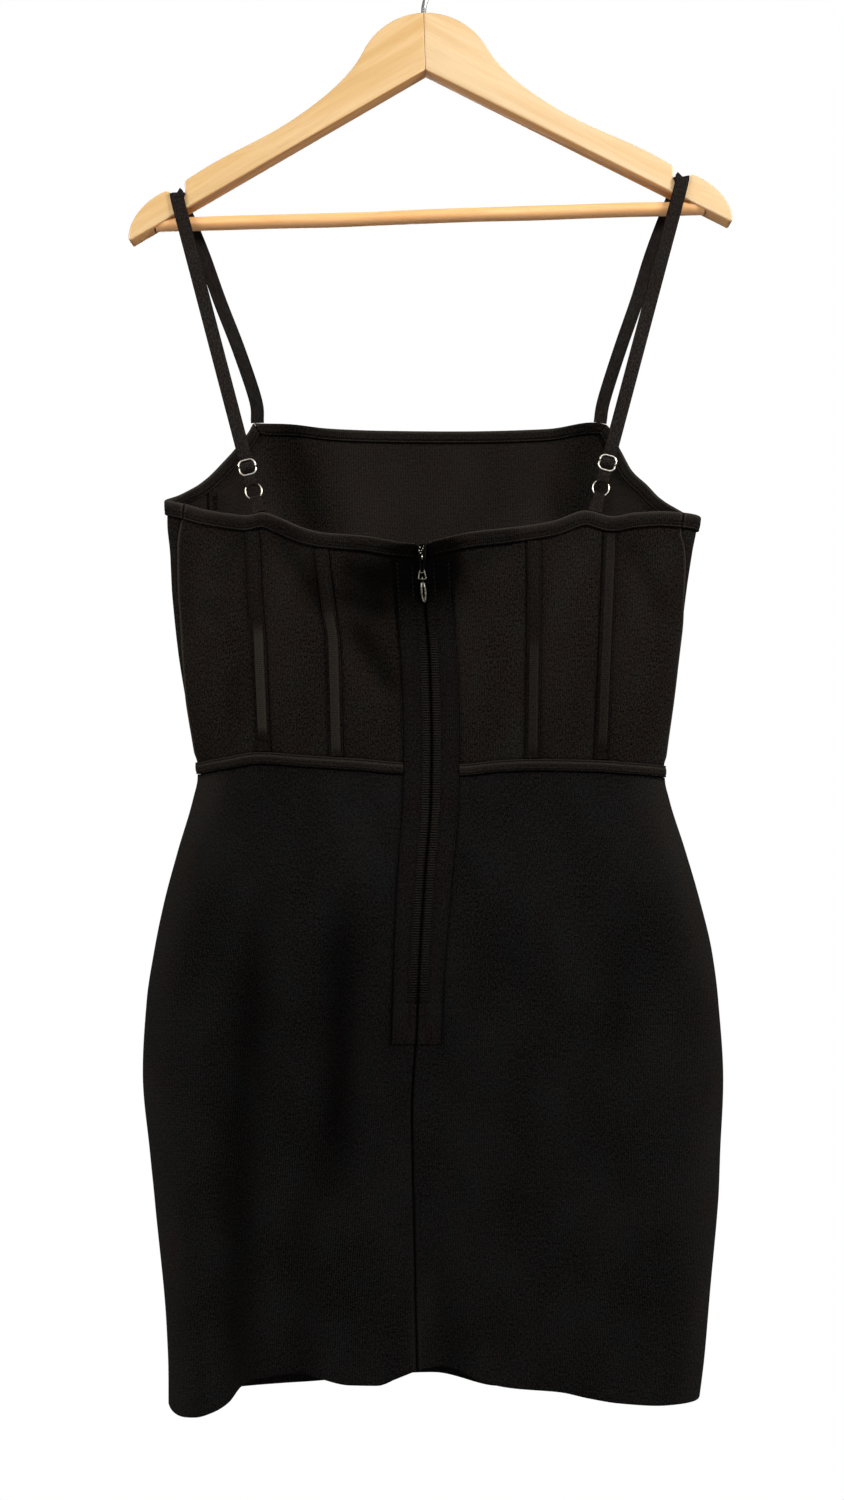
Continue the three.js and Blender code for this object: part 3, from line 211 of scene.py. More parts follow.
def pucker(x, z):
    """Little gathers that the sewing leaves beside the waist seam."""
    wave = np.sin(x / PUCKER["pitch"] + 1.4 * np.sin(x / PUCKER["drift"]))
    return PUCKER["height"] * wave * np.exp(-np.abs(z - BODICE_FOOT) / PUCKER["reach"])


def skin(angle, z):
    """Points of the cloth's outer face. The angle runs from the right side over the back (a quarter
    turn), the left side and the front."""
    angle, z = np.broadcast_arrays(np.asarray(angle, float), np.asarray(z, float))
    on_back = np.sin(angle) >= 0
    c = np.cos(angle)
    s = np.abs(np.sin(angle))
    x = shift(z) + half_width(z) * c
    depth = np.where(on_back, back_depth(z), front_depth(z)) * s * (1 + 0.25 * c * c)
    beside_placket = smoothstep(-z, *STIFF_FROM) * smoothstep(z, *STIFF_TO)
    near = 1 - smoothstep(np.abs(x - CENTRE_BACK(z)), STIFF_HALF, 2 * STIFF_HALF)
    crease = np.where(on_back, crease_depth(BACK_CREASES, x, z), crease_depth(FRONT_CREASES, x, z))
    crease = (crease + pucker(x, z)) * (1 - np.where(on_back, beside_placket * near, 0))
    y = depth - crease * smoothstep(s, 0.25, 0.6)
    return np.stack([x + DRESS_X, np.where(on_back, -y, y), z], -1)


NEARBY = 0.004


def cover(angle, z, out):
    """Points that stand out from the cloth's outer face, or lie inside it where out is negative."""
    angle, z = np.broadcast_arrays(np.asarray(angle, float), np.asarray(z, float))
    across = skin(angle + NEARBY, z) - skin(angle - NEARBY, z)
    up = skin(angle, z + 0.5) - skin(angle, z - 0.5)
    normal = np.cross(up, across)
    normal = normal / np.linalg.norm(normal, axis=-1, keepdims=True)
    return skin(angle, z) + normal * np.asarray(out, float)[..., None]


def pace(angle, z):
    """Millimetres along the section for each radian of the angle."""
    return np.linalg.norm(skin(angle + NEARBY, z) - skin(angle - NEARBY, z), axis=-1) / (2 * NEARBY)


def angle_at(x, z, side):
    turn = np.arccos(np.clip((x - shift(z)) / half_width(z), -1, 1))
    return turn if side == "back" else TURN - turn


def line_round(back_rows, front_rows):
    """A line drawn round the dress, from rows of (x, z) read left to right."""
    rows = [(float(angle_at(x, z, "back")), z) for x, z in back_rows[::-1]]
    rows += [(float(angle_at(x, z, "front")), z) for x, z in front_rows]
    rows = [(angle + turns * TURN, z) for turns in (-1, 0, 1) for angle, z in rows]
    return smooth_line([row for i, row in enumerate(rows) if not i or row[0] - rows[i - 1][0] > 1e-3])


top_edge = line_round(
    [
        (-197, -418.8), (-183, -424.2), (-165.7, -429.5), (-147.3, -433.1), (-135.2, -434.5),
        (-124.2, -432.5), (-109, -437.5), (-94.5, -443.9), (-79.3, -447.8), (-50, -450.4),
        (-35.2, -453), (-20, -455.4), (-8.5, -455.6), (3, -452.8), (27.7, -447.5), (50, -444.8),
        (70.8, -442.2), (85.6, -439.4), (110.9, -431.3), (129.8, -435.3), (147, -432.2),
        (169.8, -430.5), (197, -431.6),
    ],
    [
        (-192.5, -414.4), (-180.7, -406), (-171.4, -398), (-157.7, -383), (-148.4, -372.3),
        (-140.4, -362), (-136.2, -355.8), (-107.3, -357), (-74.7, -358.6), (-37, -359.6),
        (21.4, -360), (87.2, -358.8), (121.2, -355.8), (131.2, -357), (143.7, -376),
        (152.9, -392), (163.6, -402.7), (172.6, -413), (181.5, -420.3), (193, -429),
    ],
)
waist_line = line_round(
    [
        (-172.7, -623), (-153.3, -619.5), (-124.3, -615.2), (-94.5, -617.3), (-50.2, -620.2),
        (-23.4, -622.6), (18.7, -623.9), (49.9, -621), (72.4, -620.2), (116.7, -621),
        (146.4, -623.1), (172.7, -625.6),
    ],
    [(-150, -623), (0, -622), (150, -625)],
)
EDGE_REACH = 12


def edge_run(angle):
    """How steeply the upper edge runs: its rise and its level part, for each millimetre of it."""
    turn = EDGE_REACH / pace(angle, top_edge(angle))
    off_side = smoothstep(np.abs(np.sin(angle)), 0.3, 0.5)
    rise = (top_edge(angle + turn) - top_edge(angle - turn)) * off_side
    length = np.hypot(2 * EDGE_REACH, rise)
    return rise / length, 2 * EDGE_REACH / length


def on_line(line, side):
    return lambda z: angle_at(line(z), z, side)


front_seam = smooth_line([(-621, 148), (-440, 168)])
# How far each ridge seam has turned from the side onto the back, by height
ridge_right = smooth_line([
    (-621, 0.05), (-525, 0.07), (-504, 0.166), (-493, 0.194), (-482, 0.229), (-468, 0.3),
    (-460, 0.365), (-440, 0.38),
])
ridge_left = smooth_line([
    (-621, 0.05), (-578, 0.1), (-556, 0.19), (-541, 0.227), (-519, 0.258), (-498, 0.268),
    (-476, 0.285), (-461, 0.345), (-440, 0.4),
])
SEAMS = {
    "front_right": lambda z: angle_at(front_seam(z), z, "front") - TURN,
    "ridge_right": ridge_right,
    "outer_right": on_line(smooth_line([(-621, 122), (-513, 125), (-447, 127.4)]), "back"),
    "inner_right": on_line(smooth_line([(-621, 71.8), (-447, 72.5)]), "back"),
    "centre": on_line(CENTRE_BACK, "back"),
    "inner_left": on_line(smooth_line([(-621, -70), (-527, -72), (-505, -75), (-456, -81)]), "back"),
    "outer_left": on_line(smooth_line([(-621, -122.3), (-535, -125), (-505, -128), (-446, -131.7)]), "back"),
    "ridge_left": lambda z: math.pi - ridge_left(z),
    "front_left": lambda z: angle_at(-front_seam(z), z, "front"),
    "front_end": lambda z: angle_at(front_seam(z), z, "front"),
}


def bodice_z(angle, share):
    """Heights in the bodice by share, which keeps the bands' rows level with their edges."""
    level = edge_run(angle)[1]
    foot = waist_line(angle) + SEAM_GAP / 2
    over_band = waist_line(angle) + WAIST_BAND + 0.6
    under_band = top_edge(angle) - (BAND_OUTSIDE + 1) / level
    top = top_edge(angle) - (TRIM + SEAM_GAP + 0.2) / level
    low = np.clip(share / UNDER_WAIST_BAND, 0, 1)
    middle = np.clip((share - UNDER_WAIST_BAND) / (UNDER_NECK_BAND - UNDER_WAIST_BAND), 0, 1)
    high = np.clip((share - UNDER_NECK_BAND) / (1 - UNDER_NECK_BAND), 0, 1)
    return foot + (over_band - foot) * low + (under_band - over_band) * middle + (top - under_band) * high


BONE_WIDTH = 10
PLACKET_WIDTH = 20
PLACKET_FOOT_WIDTH = 17.5
PLACKET_BOTTOM = -815
PLACKET_FULL_Z = -640
SEWN_GAP = 0.02
BESIDE_SEAM = np.array([SEWN_GAP, 0.5, 0.95, 1.55, 2.35, 3.35])
BESIDE_TAPE = np.array([-0.5, 0.1, 0.5, 0.9, 1.4, 2.2])


def placket_half(z):
    full = smoothstep(z, PLACKET_BOTTOM, PLACKET_FULL_Z)
    return PLACKET_FOOT_WIDTH + (PLACKET_WIDTH - PLACKET_FOOT_WIDTH) * full


def near_line(distance, width):
    """1 on a line and 0 far from it."""
    return np.exp(-((distance / width) ** 2))


def near_seam(kind, z):
    """Distances of the columns beside a seam: close to it, and at the edge of the tape over it."""
    near = np.tile(BESIDE_SEAM, (len(z), 1))
    if kind in ("ridge", "tucked"):
        return near
    tape = placket_half(z) if kind == "centre" else np.full(len(z), BONE_WIDTH / 2)
    return np.hstack([near, tape[:, None] + BESIDE_TAPE])


def columns_between(start, stop, z, count, start_edge, stop_edge):
    """Angles between two seams, row by row, and each column's distance from either seam."""
    start, stop = start[:, None], stop[:, None]
    pace_start, pace_stop = pace(start, z[:, None]), pace(stop, z[:, None])
    first = start + near_seam(start_edge, z) / pace_start
    last = stop - near_seam(stop_edge, z)[:, ::-1] / pace_stop
    inner = np.linspace(0, 1, count + 1)[1:-1]
    middle = first[:, -1:] + (last[:, :1] - first[:, -1:]) * inner
    angles = np.hstack([first, middle, last])
    return angles, (angles - start) * pace_start, (stop - angles) * pace_stop


def srgb(red, green, blue):
    """A colour as the eye reads it, 0 to 255, as Blender's linear one."""
    shares = [v / 255 for v in (red, green, blue)]
    return (*[v / 12.92 if v <= 0.04045 else ((v + 0.055) / 1.055) ** 2.4 for v in shares], 1)


HEATHER = ((1.07, 0.97, 0.92), (0.95, 1.0, 0.98))


class Amount:
    """A socket of a finish's nodes, with maths."""

    def __init__(self, finish, socket):
        self.finish = finish
        self.socket = socket

    def maths(self, operation, *values):
        return self.finish.node("ShaderNodeMath", {"operation": operation}, dict(enumerate(values)))

    def __add__(self, other):
        return self.maths("ADD", self, other)

    def __sub__(self, other):
        return self.maths("SUBTRACT", self, other)

    def __rsub__(self, other):
        return self.maths("SUBTRACT", other, self)

    def __mul__(self, other):
        return self.maths("MULTIPLY", self, other)

    __radd__ = __add__
    __rmul__ = __mul__

    def sine(self):
        return self.maths("SINE", self)

    def step(self, low, high):
        """From 0 at low to 1 at high, smoothly."""
        inputs = {"Value": self, "From Min": low, "From Max": high}
        return self.finish.node("ShaderNodeMapRange", {"interpolation_type": "SMOOTHSTEP"}, inputs)


class Finish:
    """A material made of nodes round one Principled shader."""

    def __init__(self, name, **fixed):
        self.material = bpy.data.materials.new(name)
        self.material.use_nodes = True
        self.tree = self.material.node_tree
        self.shader = self.tree.nodes["Principled BSDF"]
        self.shade(**fixed)

    def put(self, socket, value):
        if isinstance(value, Amount):
            self.tree.links.new(value.socket, socket)
        else:
            socket.default_value = value

    def shade(self, **values):
        for name, value in values.items():
            self.put(self.shader.inputs[name.replace("_", " ")], value)

    def node(self, kind, settings=None, inputs=None, output=0):
        made = self.tree.nodes.new(kind)
        for key, value in (settings or {}).items():
            setattr(made, key, value)
        for key, value in (inputs or {}).items():
            self.put(made.inputs[key], value)
        return Amount(self, made.outputs[output])

    def mix(self, factor, one, other):
        """A colour between two."""
        return self.node("ShaderNodeMix", {"data_type": "RGBA"}, {0: factor, 6: one, 7: other}, 2)

    def scaled(self, vector, scale):
        inputs = {0: vector, 1: scale}
        return self.node("ShaderNodeVectorMath", {"operation": "MULTIPLY"}, inputs)

    def noise(self, vector, scale, detail=2, roughness=0.5):
        inputs = {"Vector": vector, "Scale": scale, "Detail": detail, "Roughness": roughness}
        return self.node("ShaderNodeTexNoise", {}, inputs)

    def parts(self, vector):
        return [self.node("ShaderNodeSeparateXYZ", {}, {0: vector}, k) for k in range(3)]

    def bump(self, height, strength, distance):
        inputs = {"Strength": strength, "Distance": distance, "Height": height}
        self.shade(Normal=self.node("ShaderNodeBump", {}, inputs))


def knit_finish(name, dark, light, wale=1.3, course=1.1):
    """Black knit: fine upright wales with a heathered face. Painted light and shade, laid on each mesh,
    darkens the seams' hollows as painted shade and lightens edges as painted highlights."""
    finish = Finish(name, Roughness=0.95, Specular_IOR_Level=0, Sheen_Weight=0.014, Sheen_Roughness=0.35)
    lay = finish.node("ShaderNodeUVMap", {"uv_map": "lay"})
    across, along, _ = finish.parts(lay)
    grain = finish.noise(finish.scaled(lay, (0.9, 0.52, 1)), 1, 3, 0.7)
    patches = finish.noise(finish.scaled(lay, (0.019, 0.012, 1)), 1, 2)
    hue = finish.noise(finish.scaled(lay, (0.035, 0.024, 1)), 1, 2, 0.6)
    speck = finish.noise(finish.scaled(lay, (1.5, 1.1, 1)), 1, 0)
    face = grain.step(0.38, 0.64) * 0.66 + speck.step(0.42, 0.7) * 0.36 + patches.step(0.3, 0.7) * 0.22 - 0.1
    warm, cool = [(light[0] * red, light[1] * green, light[2] * blue, 1) for red, green, blue in HEATHER]
    colour = finish.mix(face, dark, finish.mix(hue.step(0.4, 0.62), warm, cool))
    painted_light_and_wear = finish.node("ShaderNodeAttribute", {"attribute_name": "painted_light_and_wear"}, {}, 2)
    # Painted shade: below zero the knit is mixed towards near black.
    colour = finish.mix((0 - painted_light_and_wear).step(0, 1) * 0.85, colour, srgb(1, 1, 1))
    # Painted highlight: above zero the knit is mixed towards a pale brown.
    colour = finish.mix(painted_light_and_wear.step(0, 1) * 0.6, colour, srgb(62, 57, 51))
    finish.shade(Base_Color=colour)
    loops = (across * (TURN / wale)).sine() * 0.5 + (along * (TURN / course)).sine() * 0.3
    finish.bump(loops + grain * 1.8 + patches * 3, 0.6, 0.0003)
    return finish.material


def lay_of(outer):
    """Each point's place in the flat cloth: along its row, and along its column."""
    along_rows = np.linalg.norm(np.diff(outer, axis=1), axis=-1)
    along_columns = np.linalg.norm(np.diff(outer, axis=0), axis=-1)
    u = np.pad(np.cumsum(along_rows, 1), ((0, 0), (1, 0)))
    v = np.pad(np.cumsum(along_columns, 0), ((1, 0), (0, 0)))
    return u - u[:, -1:] / 2, v


def mesh_piece(name, points, faces, finish, slot, nodes=(), lay=None, painted_light_and_wear=None, body="dress_on_hanger"):
    """A piece from points in millimetres and faces, with its finish, its body, its slot, which is not used,
    and the CAD nodes it stands for."""
    points = np.asarray(points, float)
    corners = [points[[face[k] for face in faces]] for k in range(3)]
    if np.einsum("ij,ij->i", corners[0], np.cross(corners[1], corners[2])).sum() < 0:
        faces = [face[::-1] for face in faces]
    mesh = bpy.data.meshes.new(name)
    mesh.from_pydata((points * MM).tolist(), [], faces)
    if lay is not None:
        uv = mesh.uv_layers.new(name="lay")
        vertex = np.zeros(len(mesh.loops), np.int32)
        mesh.loops.foreach_get("vertex_index", vertex)
        uv.data.foreach_set("uv", np.asarray(lay, np.float32)[vertex].ravel())
    if painted_light_and_wear is not None:
        painted_light_and_worn_edges = mesh.attributes.new("painted_light_and_wear", "FLOAT", "POINT")
        painted_light_and_worn_edges.data.foreach_set("value", np.asarray(painted_light_and_wear, np.float32))
    mesh.shade_smooth()
    mesh.set_sharp_from_angle(angle=math.radians(50))
    mesh.materials.append(finish)
    piece = bpy.data.objects.new(name, mesh)
    bpy.context.scene.collection.objects.link(piece)
    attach(piece, body)
    if nodes:
        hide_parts(*nodes)
    return piece


def shell(name, outer, inner, finish, slot, nodes=(), painted_light_and_wear=0, inner_painted_light=0):
    """A closed sheet between two grids of points, rows by columns, with each grid's painted light and shade.
    """
    rows, columns = outer.shape[:2]
    front = np.arange(rows * columns).reshape(rows, columns)
    back = front + rows * columns
    sides = [
        (front[:-1, :-1], front[:-1, 1:], front[1:, 1:], front[1:, :-1]),
        (back[:-1, :-1], back[1:, :-1], back[1:, 1:], back[:-1, 1:]),
        (front[0, :-1], back[0, :-1], back[0, 1:], front[0, 1:]),
        (front[-1, :-1], front[-1, 1:], back[-1, 1:], back[-1, :-1]),
        (front[:-1, 0], front[1:, 0], back[1:, 0], back[:-1, 0]),
        (front[:-1, -1], back[:-1, -1], back[1:, -1], front[1:, -1]),
    ]
    faces = np.concatenate([np.stack(side, -1).reshape(-1, 4) for side in sides]).tolist()
    points = np.concatenate([outer.reshape(-1, 3), inner.reshape(-1, 3)])
    u, v = lay_of(outer)
    lay = np.tile(np.stack([u, v], -1).reshape(-1, 2), (2, 1))
    painted_light_and_worn_edges = np.concatenate([np.broadcast_to(grid, (rows, columns)).ravel() for grid in (painted_light_and_wear, inner_painted_light)])
    return mesh_piece(name, points, faces, finish, slot, nodes, lay, painted_light_and_worn_edges)


LEAST_CUT = 10.5


def declare_cloth(outer, rests_on, with_pieces=()):
    """The knit isn't stretched on the hanger, so a piece's cut is its own width, length and area. These are
    worked out here and not passed on.
    """
    u, v = lay_of(outer)
    size = sorted([np.ptp(u, axis=1).max(), v.max()])
    size[0] = max(size[0], LEAST_CUT)
    a, b = outer[1:, 1:] - outer[:-1, :-1], outer[1:, :-1] - outer[:-1, 1:]
    area = np.linalg.norm(np.cross(a, b), axis=-1).sum() / 2
    area = float(min(area, size[0] * size[1])) * MM**2


bodice_knit = knit_finish("bodice_knit", srgb(7, 6, 5), srgb(38, 34, 31))
EDGE_RISE = {"flat": 0, "centre": -0.9, "ridge": 0.9, "tucked": -0.9}
EDGE_SPREAD = 1.3
# Each panel's two seams, how the cloth lies at each, and its columns between them
BODICE_PANELS = [
    ("side_right", "front_right", "ridge_right", "tucked", "tucked", 30),
    ("back_side_right", "ridge_right", "outer_right", "ridge", "flat", 24),
    ("back_middle_right", "outer_right", "inner_right", "flat", "flat", 20),
    ("back_centre_right", "inner_right", "centre", "flat", "centre", 28),
    ("back_centre_left", "centre", "inner_left", "centre", "flat", 24),
    ("back_middle_left", "inner_left", "outer_left", "flat", "flat", 20),
    ("back_side_left", "outer_left", "ridge_left", "flat", "ridge", 24),
    ("side_left", "ridge_left", "front_left", "tucked", "tucked", 30),
    ("front", "front_left", "front_end", "tucked", "tucked", 110),
]


def seam_painted_light(kind, distance, z):
    """Painted shade in a tucked seam and beside a tape's edge, painted highlight on a ridge."""
    if kind == "ridge":
        return 0.75 * near_line(distance - 0.5, 0.9)
    if kind == "tucked":
        return -0.7 * near_line(distance, 1.7)
    tape = placket_half(z) if kind == "centre" else BONE_WIDTH / 2
    return -0.5 * near_line(distance - tape - 0.4, 0.8)


# Rows are close together beside the bands' edges
ABOVE_WAIST_BAND = 0.075
BELOW_NECK_BAND = 0.905
bodice_shares = np.concatenate([
    np.linspace(0, UNDER_WAIST_BAND, 5),
    np.linspace(UNDER_WAIST_BAND, ABOVE_WAIST_BAND, 6)[1:],
    np.linspace(ABOVE_WAIST_BAND, BELOW_NECK_BAND, 74)[1:-1],
    np.linspace(BELOW_NECK_BAND, UNDER_NECK_BAND, 9),
    np.linspace(UNDER_NECK_BAND, 1, 7)[1:],
])
for name, start, stop, start_edge, stop_edge, count in BODICE_PANELS:
    reference = BODICE_FOOT + BODICE_HEIGHT * bodice_shares
    start, stop = SEAMS[start](reference), SEAMS[stop](reference)
    columns = columns_between(start, stop, reference, count, start_edge, stop_edge)
    angles, from_start, from_stop = columns
    heights = bodice_z(angles, bodice_shares[:, None])
    rise = EDGE_RISE[start_edge] * near_line(from_start, EDGE_SPREAD)
    rise = rise + EDGE_RISE[stop_edge] * near_line(from_stop, EDGE_SPREAD)
    clear = smoothstep(bodice_shares, UNDER_WAIST_BAND, 0.09)
    clear = clear * (1 - smoothstep(bodice_shares, 0.89, 0.925))
    rise = np.where(rise > 0, rise * clear[:, None], rise)
    # Painted shade in the seams, under the neck binding, above the waist band and in the creases; painted
    # highlight on the ridges.
    painted_light_and_wear = seam_painted_light(start_edge, from_start, heights) + seam_painted_light(stop_edge, from_stop, heights)
    under_band = (top_edge(angles) - heights) * edge_run(angles)[1] - BAND_OUTSIDE
    over_waist = heights - waist_line(angles) - WAIST_BAND
    painted_light_and_wear = painted_light_and_wear - 0.9 * near_line(under_band - 0.4, 1) - 0.5 * near_line(over_waist - 0.4, 0.8)
    painted_light_and_wear = painted_light_and_wear + crease_shade(angles, heights)
    outer = cover(angles, heights, rise)
    inner = cover(angles, heights, rise - KNIT)
    # The inner face is painted lighter, with painted shade in its creases.
    inner_painted_light = 0.25 + crease_shade(angles, heights)
    node = "bodice_" + name
    panel = shell(node + "_knit", outer, inner, bodice_knit, "knit", [node], painted_light_and_wear, inner_painted_light)
    declare_cloth(outer, ["strap_left", "strap_right"])

# Skirt: a front and two back halves of the same knit, sewn at the sides and at the centre back
# below the zip, where two soft ridges flank the seam. The hem is turned up inside and pressed.
hem_line = line_round(
    [
        (-196.6, -1089), (-184.5, -1093.6), (-173.8, -1092.3), (-159.4, -1086.9), (-148.8, -1080.3),
        (-139.9, -1068.7), (-132.5, -1063), (-103.7, -1056.3), (-81.1, -1059), (-60.1, -1062.4),
        (-40.6, -1062.5), (-22.6, -1055.4), (-0.9, -1048.4), (16.4, -1051.7), (31.5, -1058.5),
        (55.3, -1064.2), (91.6, -1068), (111.5, -1073), (133.8, -1077.8), (170, -1082.6),
        (196.6, -1084.3),
    ],
    [(-190, -1089), (-100, -1087), (0, -1081), (50, -1091), (120, -1087), (190, -1084.5)],
)
SKIRT_FOOT = -1070
HEM_UP = 22
HEM_GAP = 0.4
# The skirt's copy of the same knit is painted darker than the bodice's: painted shade over the whole skirt.
skirt_knit = knit_finish("skirt_knit", srgb(4, 4, 4), srgb(29, 27, 27))
SKIRT_LENGTH = 450
skirt_shares = np.concatenate([
    np.array([0, 0.4, 0.9, 1.6, 2.6, 4.2]) / SKIRT_LENGTH,
    np.linspace(6.5 / SKIRT_LENGTH, 1 - 2 / SKIRT_LENGTH, 170),
    1 - np.array([1.2, 0.5, 0]) / SKIRT_LENGTH,
])


def side_seam(angle):
    return lambda z: angle + 0 * z


SKIRT_PANELS = [
    ("back_right", side_seam(0), SEAMS["centre"], "tucked", "centre", 78),
    ("back_left", SEAMS["centre"], side_seam(math.pi), "centre", "tucked", 78),
    ("front", side_seam(math.pi), side_seam(TURN), "tucked", "tucked", 150),
]


def skirt_z(angle, share):
    top = waist_line(angle) - SEAM_GAP / 2
    return top + (hem_line(angle) - top) * share


def skirt_rise(kind, distance):
    """A tucked edge dips. The centre seam has a ridge beside a narrow dip."""
    if kind == "tucked":
        return -0.5 * near_line(distance, EDGE_SPREAD)
    return 0.8 * near_line(distance - 2.2, 1.5) - 1.4 * near_line(distance, 0.7)


# Painted shade in a tucked side seam, in the centre seam's dip and beside the placket; painted highlight on
# the centre seam's ridges.
def skirt_painted_light(kind, distance, z):
    if kind == "tucked":
        return -0.3 * near_line(distance, 1.2)
    on_placket = smoothstep(z, PLACKET_BOTTOM - 0.5, PLACKET_BOTTOM)
    seam = 0.3 * near_line(distance - 2.4, 1.1) - 0.95 * near_line(distance, 0.9)
    return seam - 0.5 * on_placket * near_line(distance - placket_half(z) - 0.4, 0.8)


for name, start, stop, start_edge, stop_edge, count in SKIRT_PANELS:
    reference = BODICE_FOOT + (SKIRT_FOOT - BODICE_FOOT) * skirt_shares
    start, stop = start(reference), stop(reference)
    columns = columns_between(start, stop, reference, count, start_edge, stop_edge)
    angles, from_start, from_stop = columns
    heights = skirt_z(angles, skirt_shares[:, None])
    from_top = skirt_shares[:, None] * SKIRT_LENGTH
    rise = skirt_rise(start_edge, from_start) + skirt_rise(stop_edge, from_stop)
    rise = rise + 0.5 * near_line(from_top, 4)
    painted_light_and_wear = skirt_painted_light(start_edge, from_start, heights) + skirt_painted_light(stop_edge, from_stop, heights)
    # Painted shadow under the waist band along the skirt's top, and painted shade in the creases.
    painted_light_and_wear = painted_light_and_wear - near_line(from_top, 1.3) + crease_shade(angles, heights)
    # Painted light: lighter towards the waist, and a painted sheen towards the sides.
    to_side = smoothstep(np.cos(angles) ** 2, 0.6, 0.97)
    painted_light_and_wear = painted_light_and_wear + 0.08 * smoothstep(heights, -800, -640) + 0.26 * to_side
    thin = 0.45 * near_line(SKIRT_LENGTH - from_top, 0.7)
    outer = cover(angles, heights, rise - thin)
    inner = cover(angles, heights, rise - KNIT + thin)
    panel = shell("skirt_" + name + "_knit", outer, inner, skirt_knit, "knit", ["skirt_" + name], painted_light_and_wear)
    declare_cloth(outer, ["waist_tape_front"])

# The turned-up hem is a ring inside the skirt that opens at one side seam
HEM_KNIT = 1.3
hem_angles = np.linspace(NEARBY, TURN - NEARBY, 420)
hem_rows = np.array([0.9, 1.3, 2.2, 5, 9, 13, 17, 20, 21.4, HEM_UP])
hem_heights = hem_line(hem_angles)[None, :] + hem_rows[:, None]
hem_thin = 0.35 * near_line(np.minimum(hem_rows - hem_rows[0], HEM_UP - hem_rows), 0.6)[:, None]
hem_outer = cover(hem_angles, hem_heights, -KNIT - HEM_GAP - hem_thin)
hem_inner = cover(hem_angles, hem_heights, -KNIT - HEM_GAP - HEM_KNIT + hem_thin)
hem_piece = shell("skirt_hem_allowance", hem_outer, hem_inner, skirt_knit, "knit")
declare_cloth(hem_outer, ["skirt_front_knit"])

# Bindings: straight strips of the same knit, folded over the upper edge and sewn through with one
# row of stitches. The back neck's two stop at the zip, and the armholes' are mitred to the front's.
ZIP_HALF_OPENING = 4
NECK_Z = -456
ARMHOLE_EASE = 0.35
BAND_STITCH = 1.9
FOLD_DEPTH = 2
trim_knit = knit_finish("trim_knit", srgb(6, 5, 5), srgb(33, 29, 26), 1.5, 1.2)


def soft_edge(from_edge, least):
    """The share of its thickness that cloth keeps, rounded off to the least at its edge."""
    return least + (1 - least) * np.sqrt(1 - (1 - np.clip(from_edge / 0.8, 0, 1)) ** 2)


def tape_face(from_edge, stitch, crown, half):
    """How far a folded tape's face stands above its back: soft at its edges and sunk at its
    stitches, with a crown between them."""
    swell = np.sin(np.clip((from_edge - stitch) / (half - stitch), 0, 1) * math.pi / 2)
    return TRIM * soft_edge(from_edge, 0.25) + crown * swell - 0.4 * near_line(from_edge - stitch, 0.45)


def tape_painted_light(from_edge, stitch):
    """Painted shade at a tape's edge and its stitches, painted highlights between them and just inside."""
    painted_light_and_worn_edges = 0.3 * near_line(from_edge - stitch / 2 - 0.1, 0.4)
    painted_light_and_worn_edges = painted_light_and_worn_edges + 0.15 * near_line(from_edge - stitch - 1.2, 0.6)
    return painted_light_and_worn_edges - 0.6 * near_line(from_edge, 0.4) - 0.45 * near_line(from_edge - stitch, 0.45)


def under_edge(angle, drop, out, aside=0):
    """Points this far down from the upper edge, square to it but upright at the sides, this far
    out of the cloth and this far aside."""
    z = top_edge(angle)
    rise, level = edge_run(angle)
    turned = (drop * rise + aside) / pace(angle, z)
    return cover(angle + turned, z - drop * level, out)


def band_rows(ease):
    """Across a binding from its foot outside over the edge to its foot inside: drop from the edge and how far
    out, for its outer and its inner face, and its painted light and shade."""
    outside = BAND_OUTSIDE - np.array([0, 0.2, 0.5, 0.9, 1.3, 1.6, 1.9, 2.2, 2.6, 3.2, 4.2, 5.5, 7, 8.3])
    inside = BAND_INSIDE - np.array([6.2, 5, 3.6, 2.6, 2.2, 1.9, 1.6, 1.3, 0.9, 0.5, 0.2, 0])
    face_out = tape_face(BAND_OUTSIDE - outside, BAND_STITCH, 0.35, 7)
    face_in = tape_face(BAND_INSIDE - inside, BAND_STITCH, 0.15, 5)
    bend = np.linspace(0, math.pi, 13)
    reach_out = KNIT / 2 + LAY_GAP + TRIM + 0.35
    outer = np.concatenate([
        np.stack([outside, LAY_GAP + ease + face_out]),
        np.stack([FOLD_DEPTH * (1 - np.sin(bend)), -KNIT / 2 + (reach_out + ease) * np.cos(bend)]),
        np.stack([inside, -KNIT - LAY_GAP - ease - face_in]),
    ], 1)
    inner = np.concatenate([
        np.stack([outside, 0 * outside + LAY_GAP + ease]),
        np.stack([
            FOLD_DEPTH - (FOLD_DEPTH - TRIM) * np.sin(bend),
            -KNIT / 2 + (KNIT / 2 + LAY_GAP + ease) * np.cos(bend),
        ]),
        np.stack([inside, 0 * inside - KNIT - LAY_GAP - ease]),
    ], 1)
    # Painted highlights towards the rolled top and on the fold; painted shade at the feet, the stitches and a
    # line above them.
    painted_light_and_wear = np.concatenate([
        tape_painted_light(BAND_OUTSIDE - outside, BAND_STITCH) + 0.3 * near_line(outside, 3.5)
        - 0.45 * near_line(BAND_OUTSIDE - outside - 4.1, 0.9),
        0.3 + 0.4 * np.sin(bend),
        tape_painted_light(BAND_INSIDE - inside, BAND_STITCH) + 0.25 * near_line(inside, 3),
    ])
    return outer, inner, painted_light_and_wear


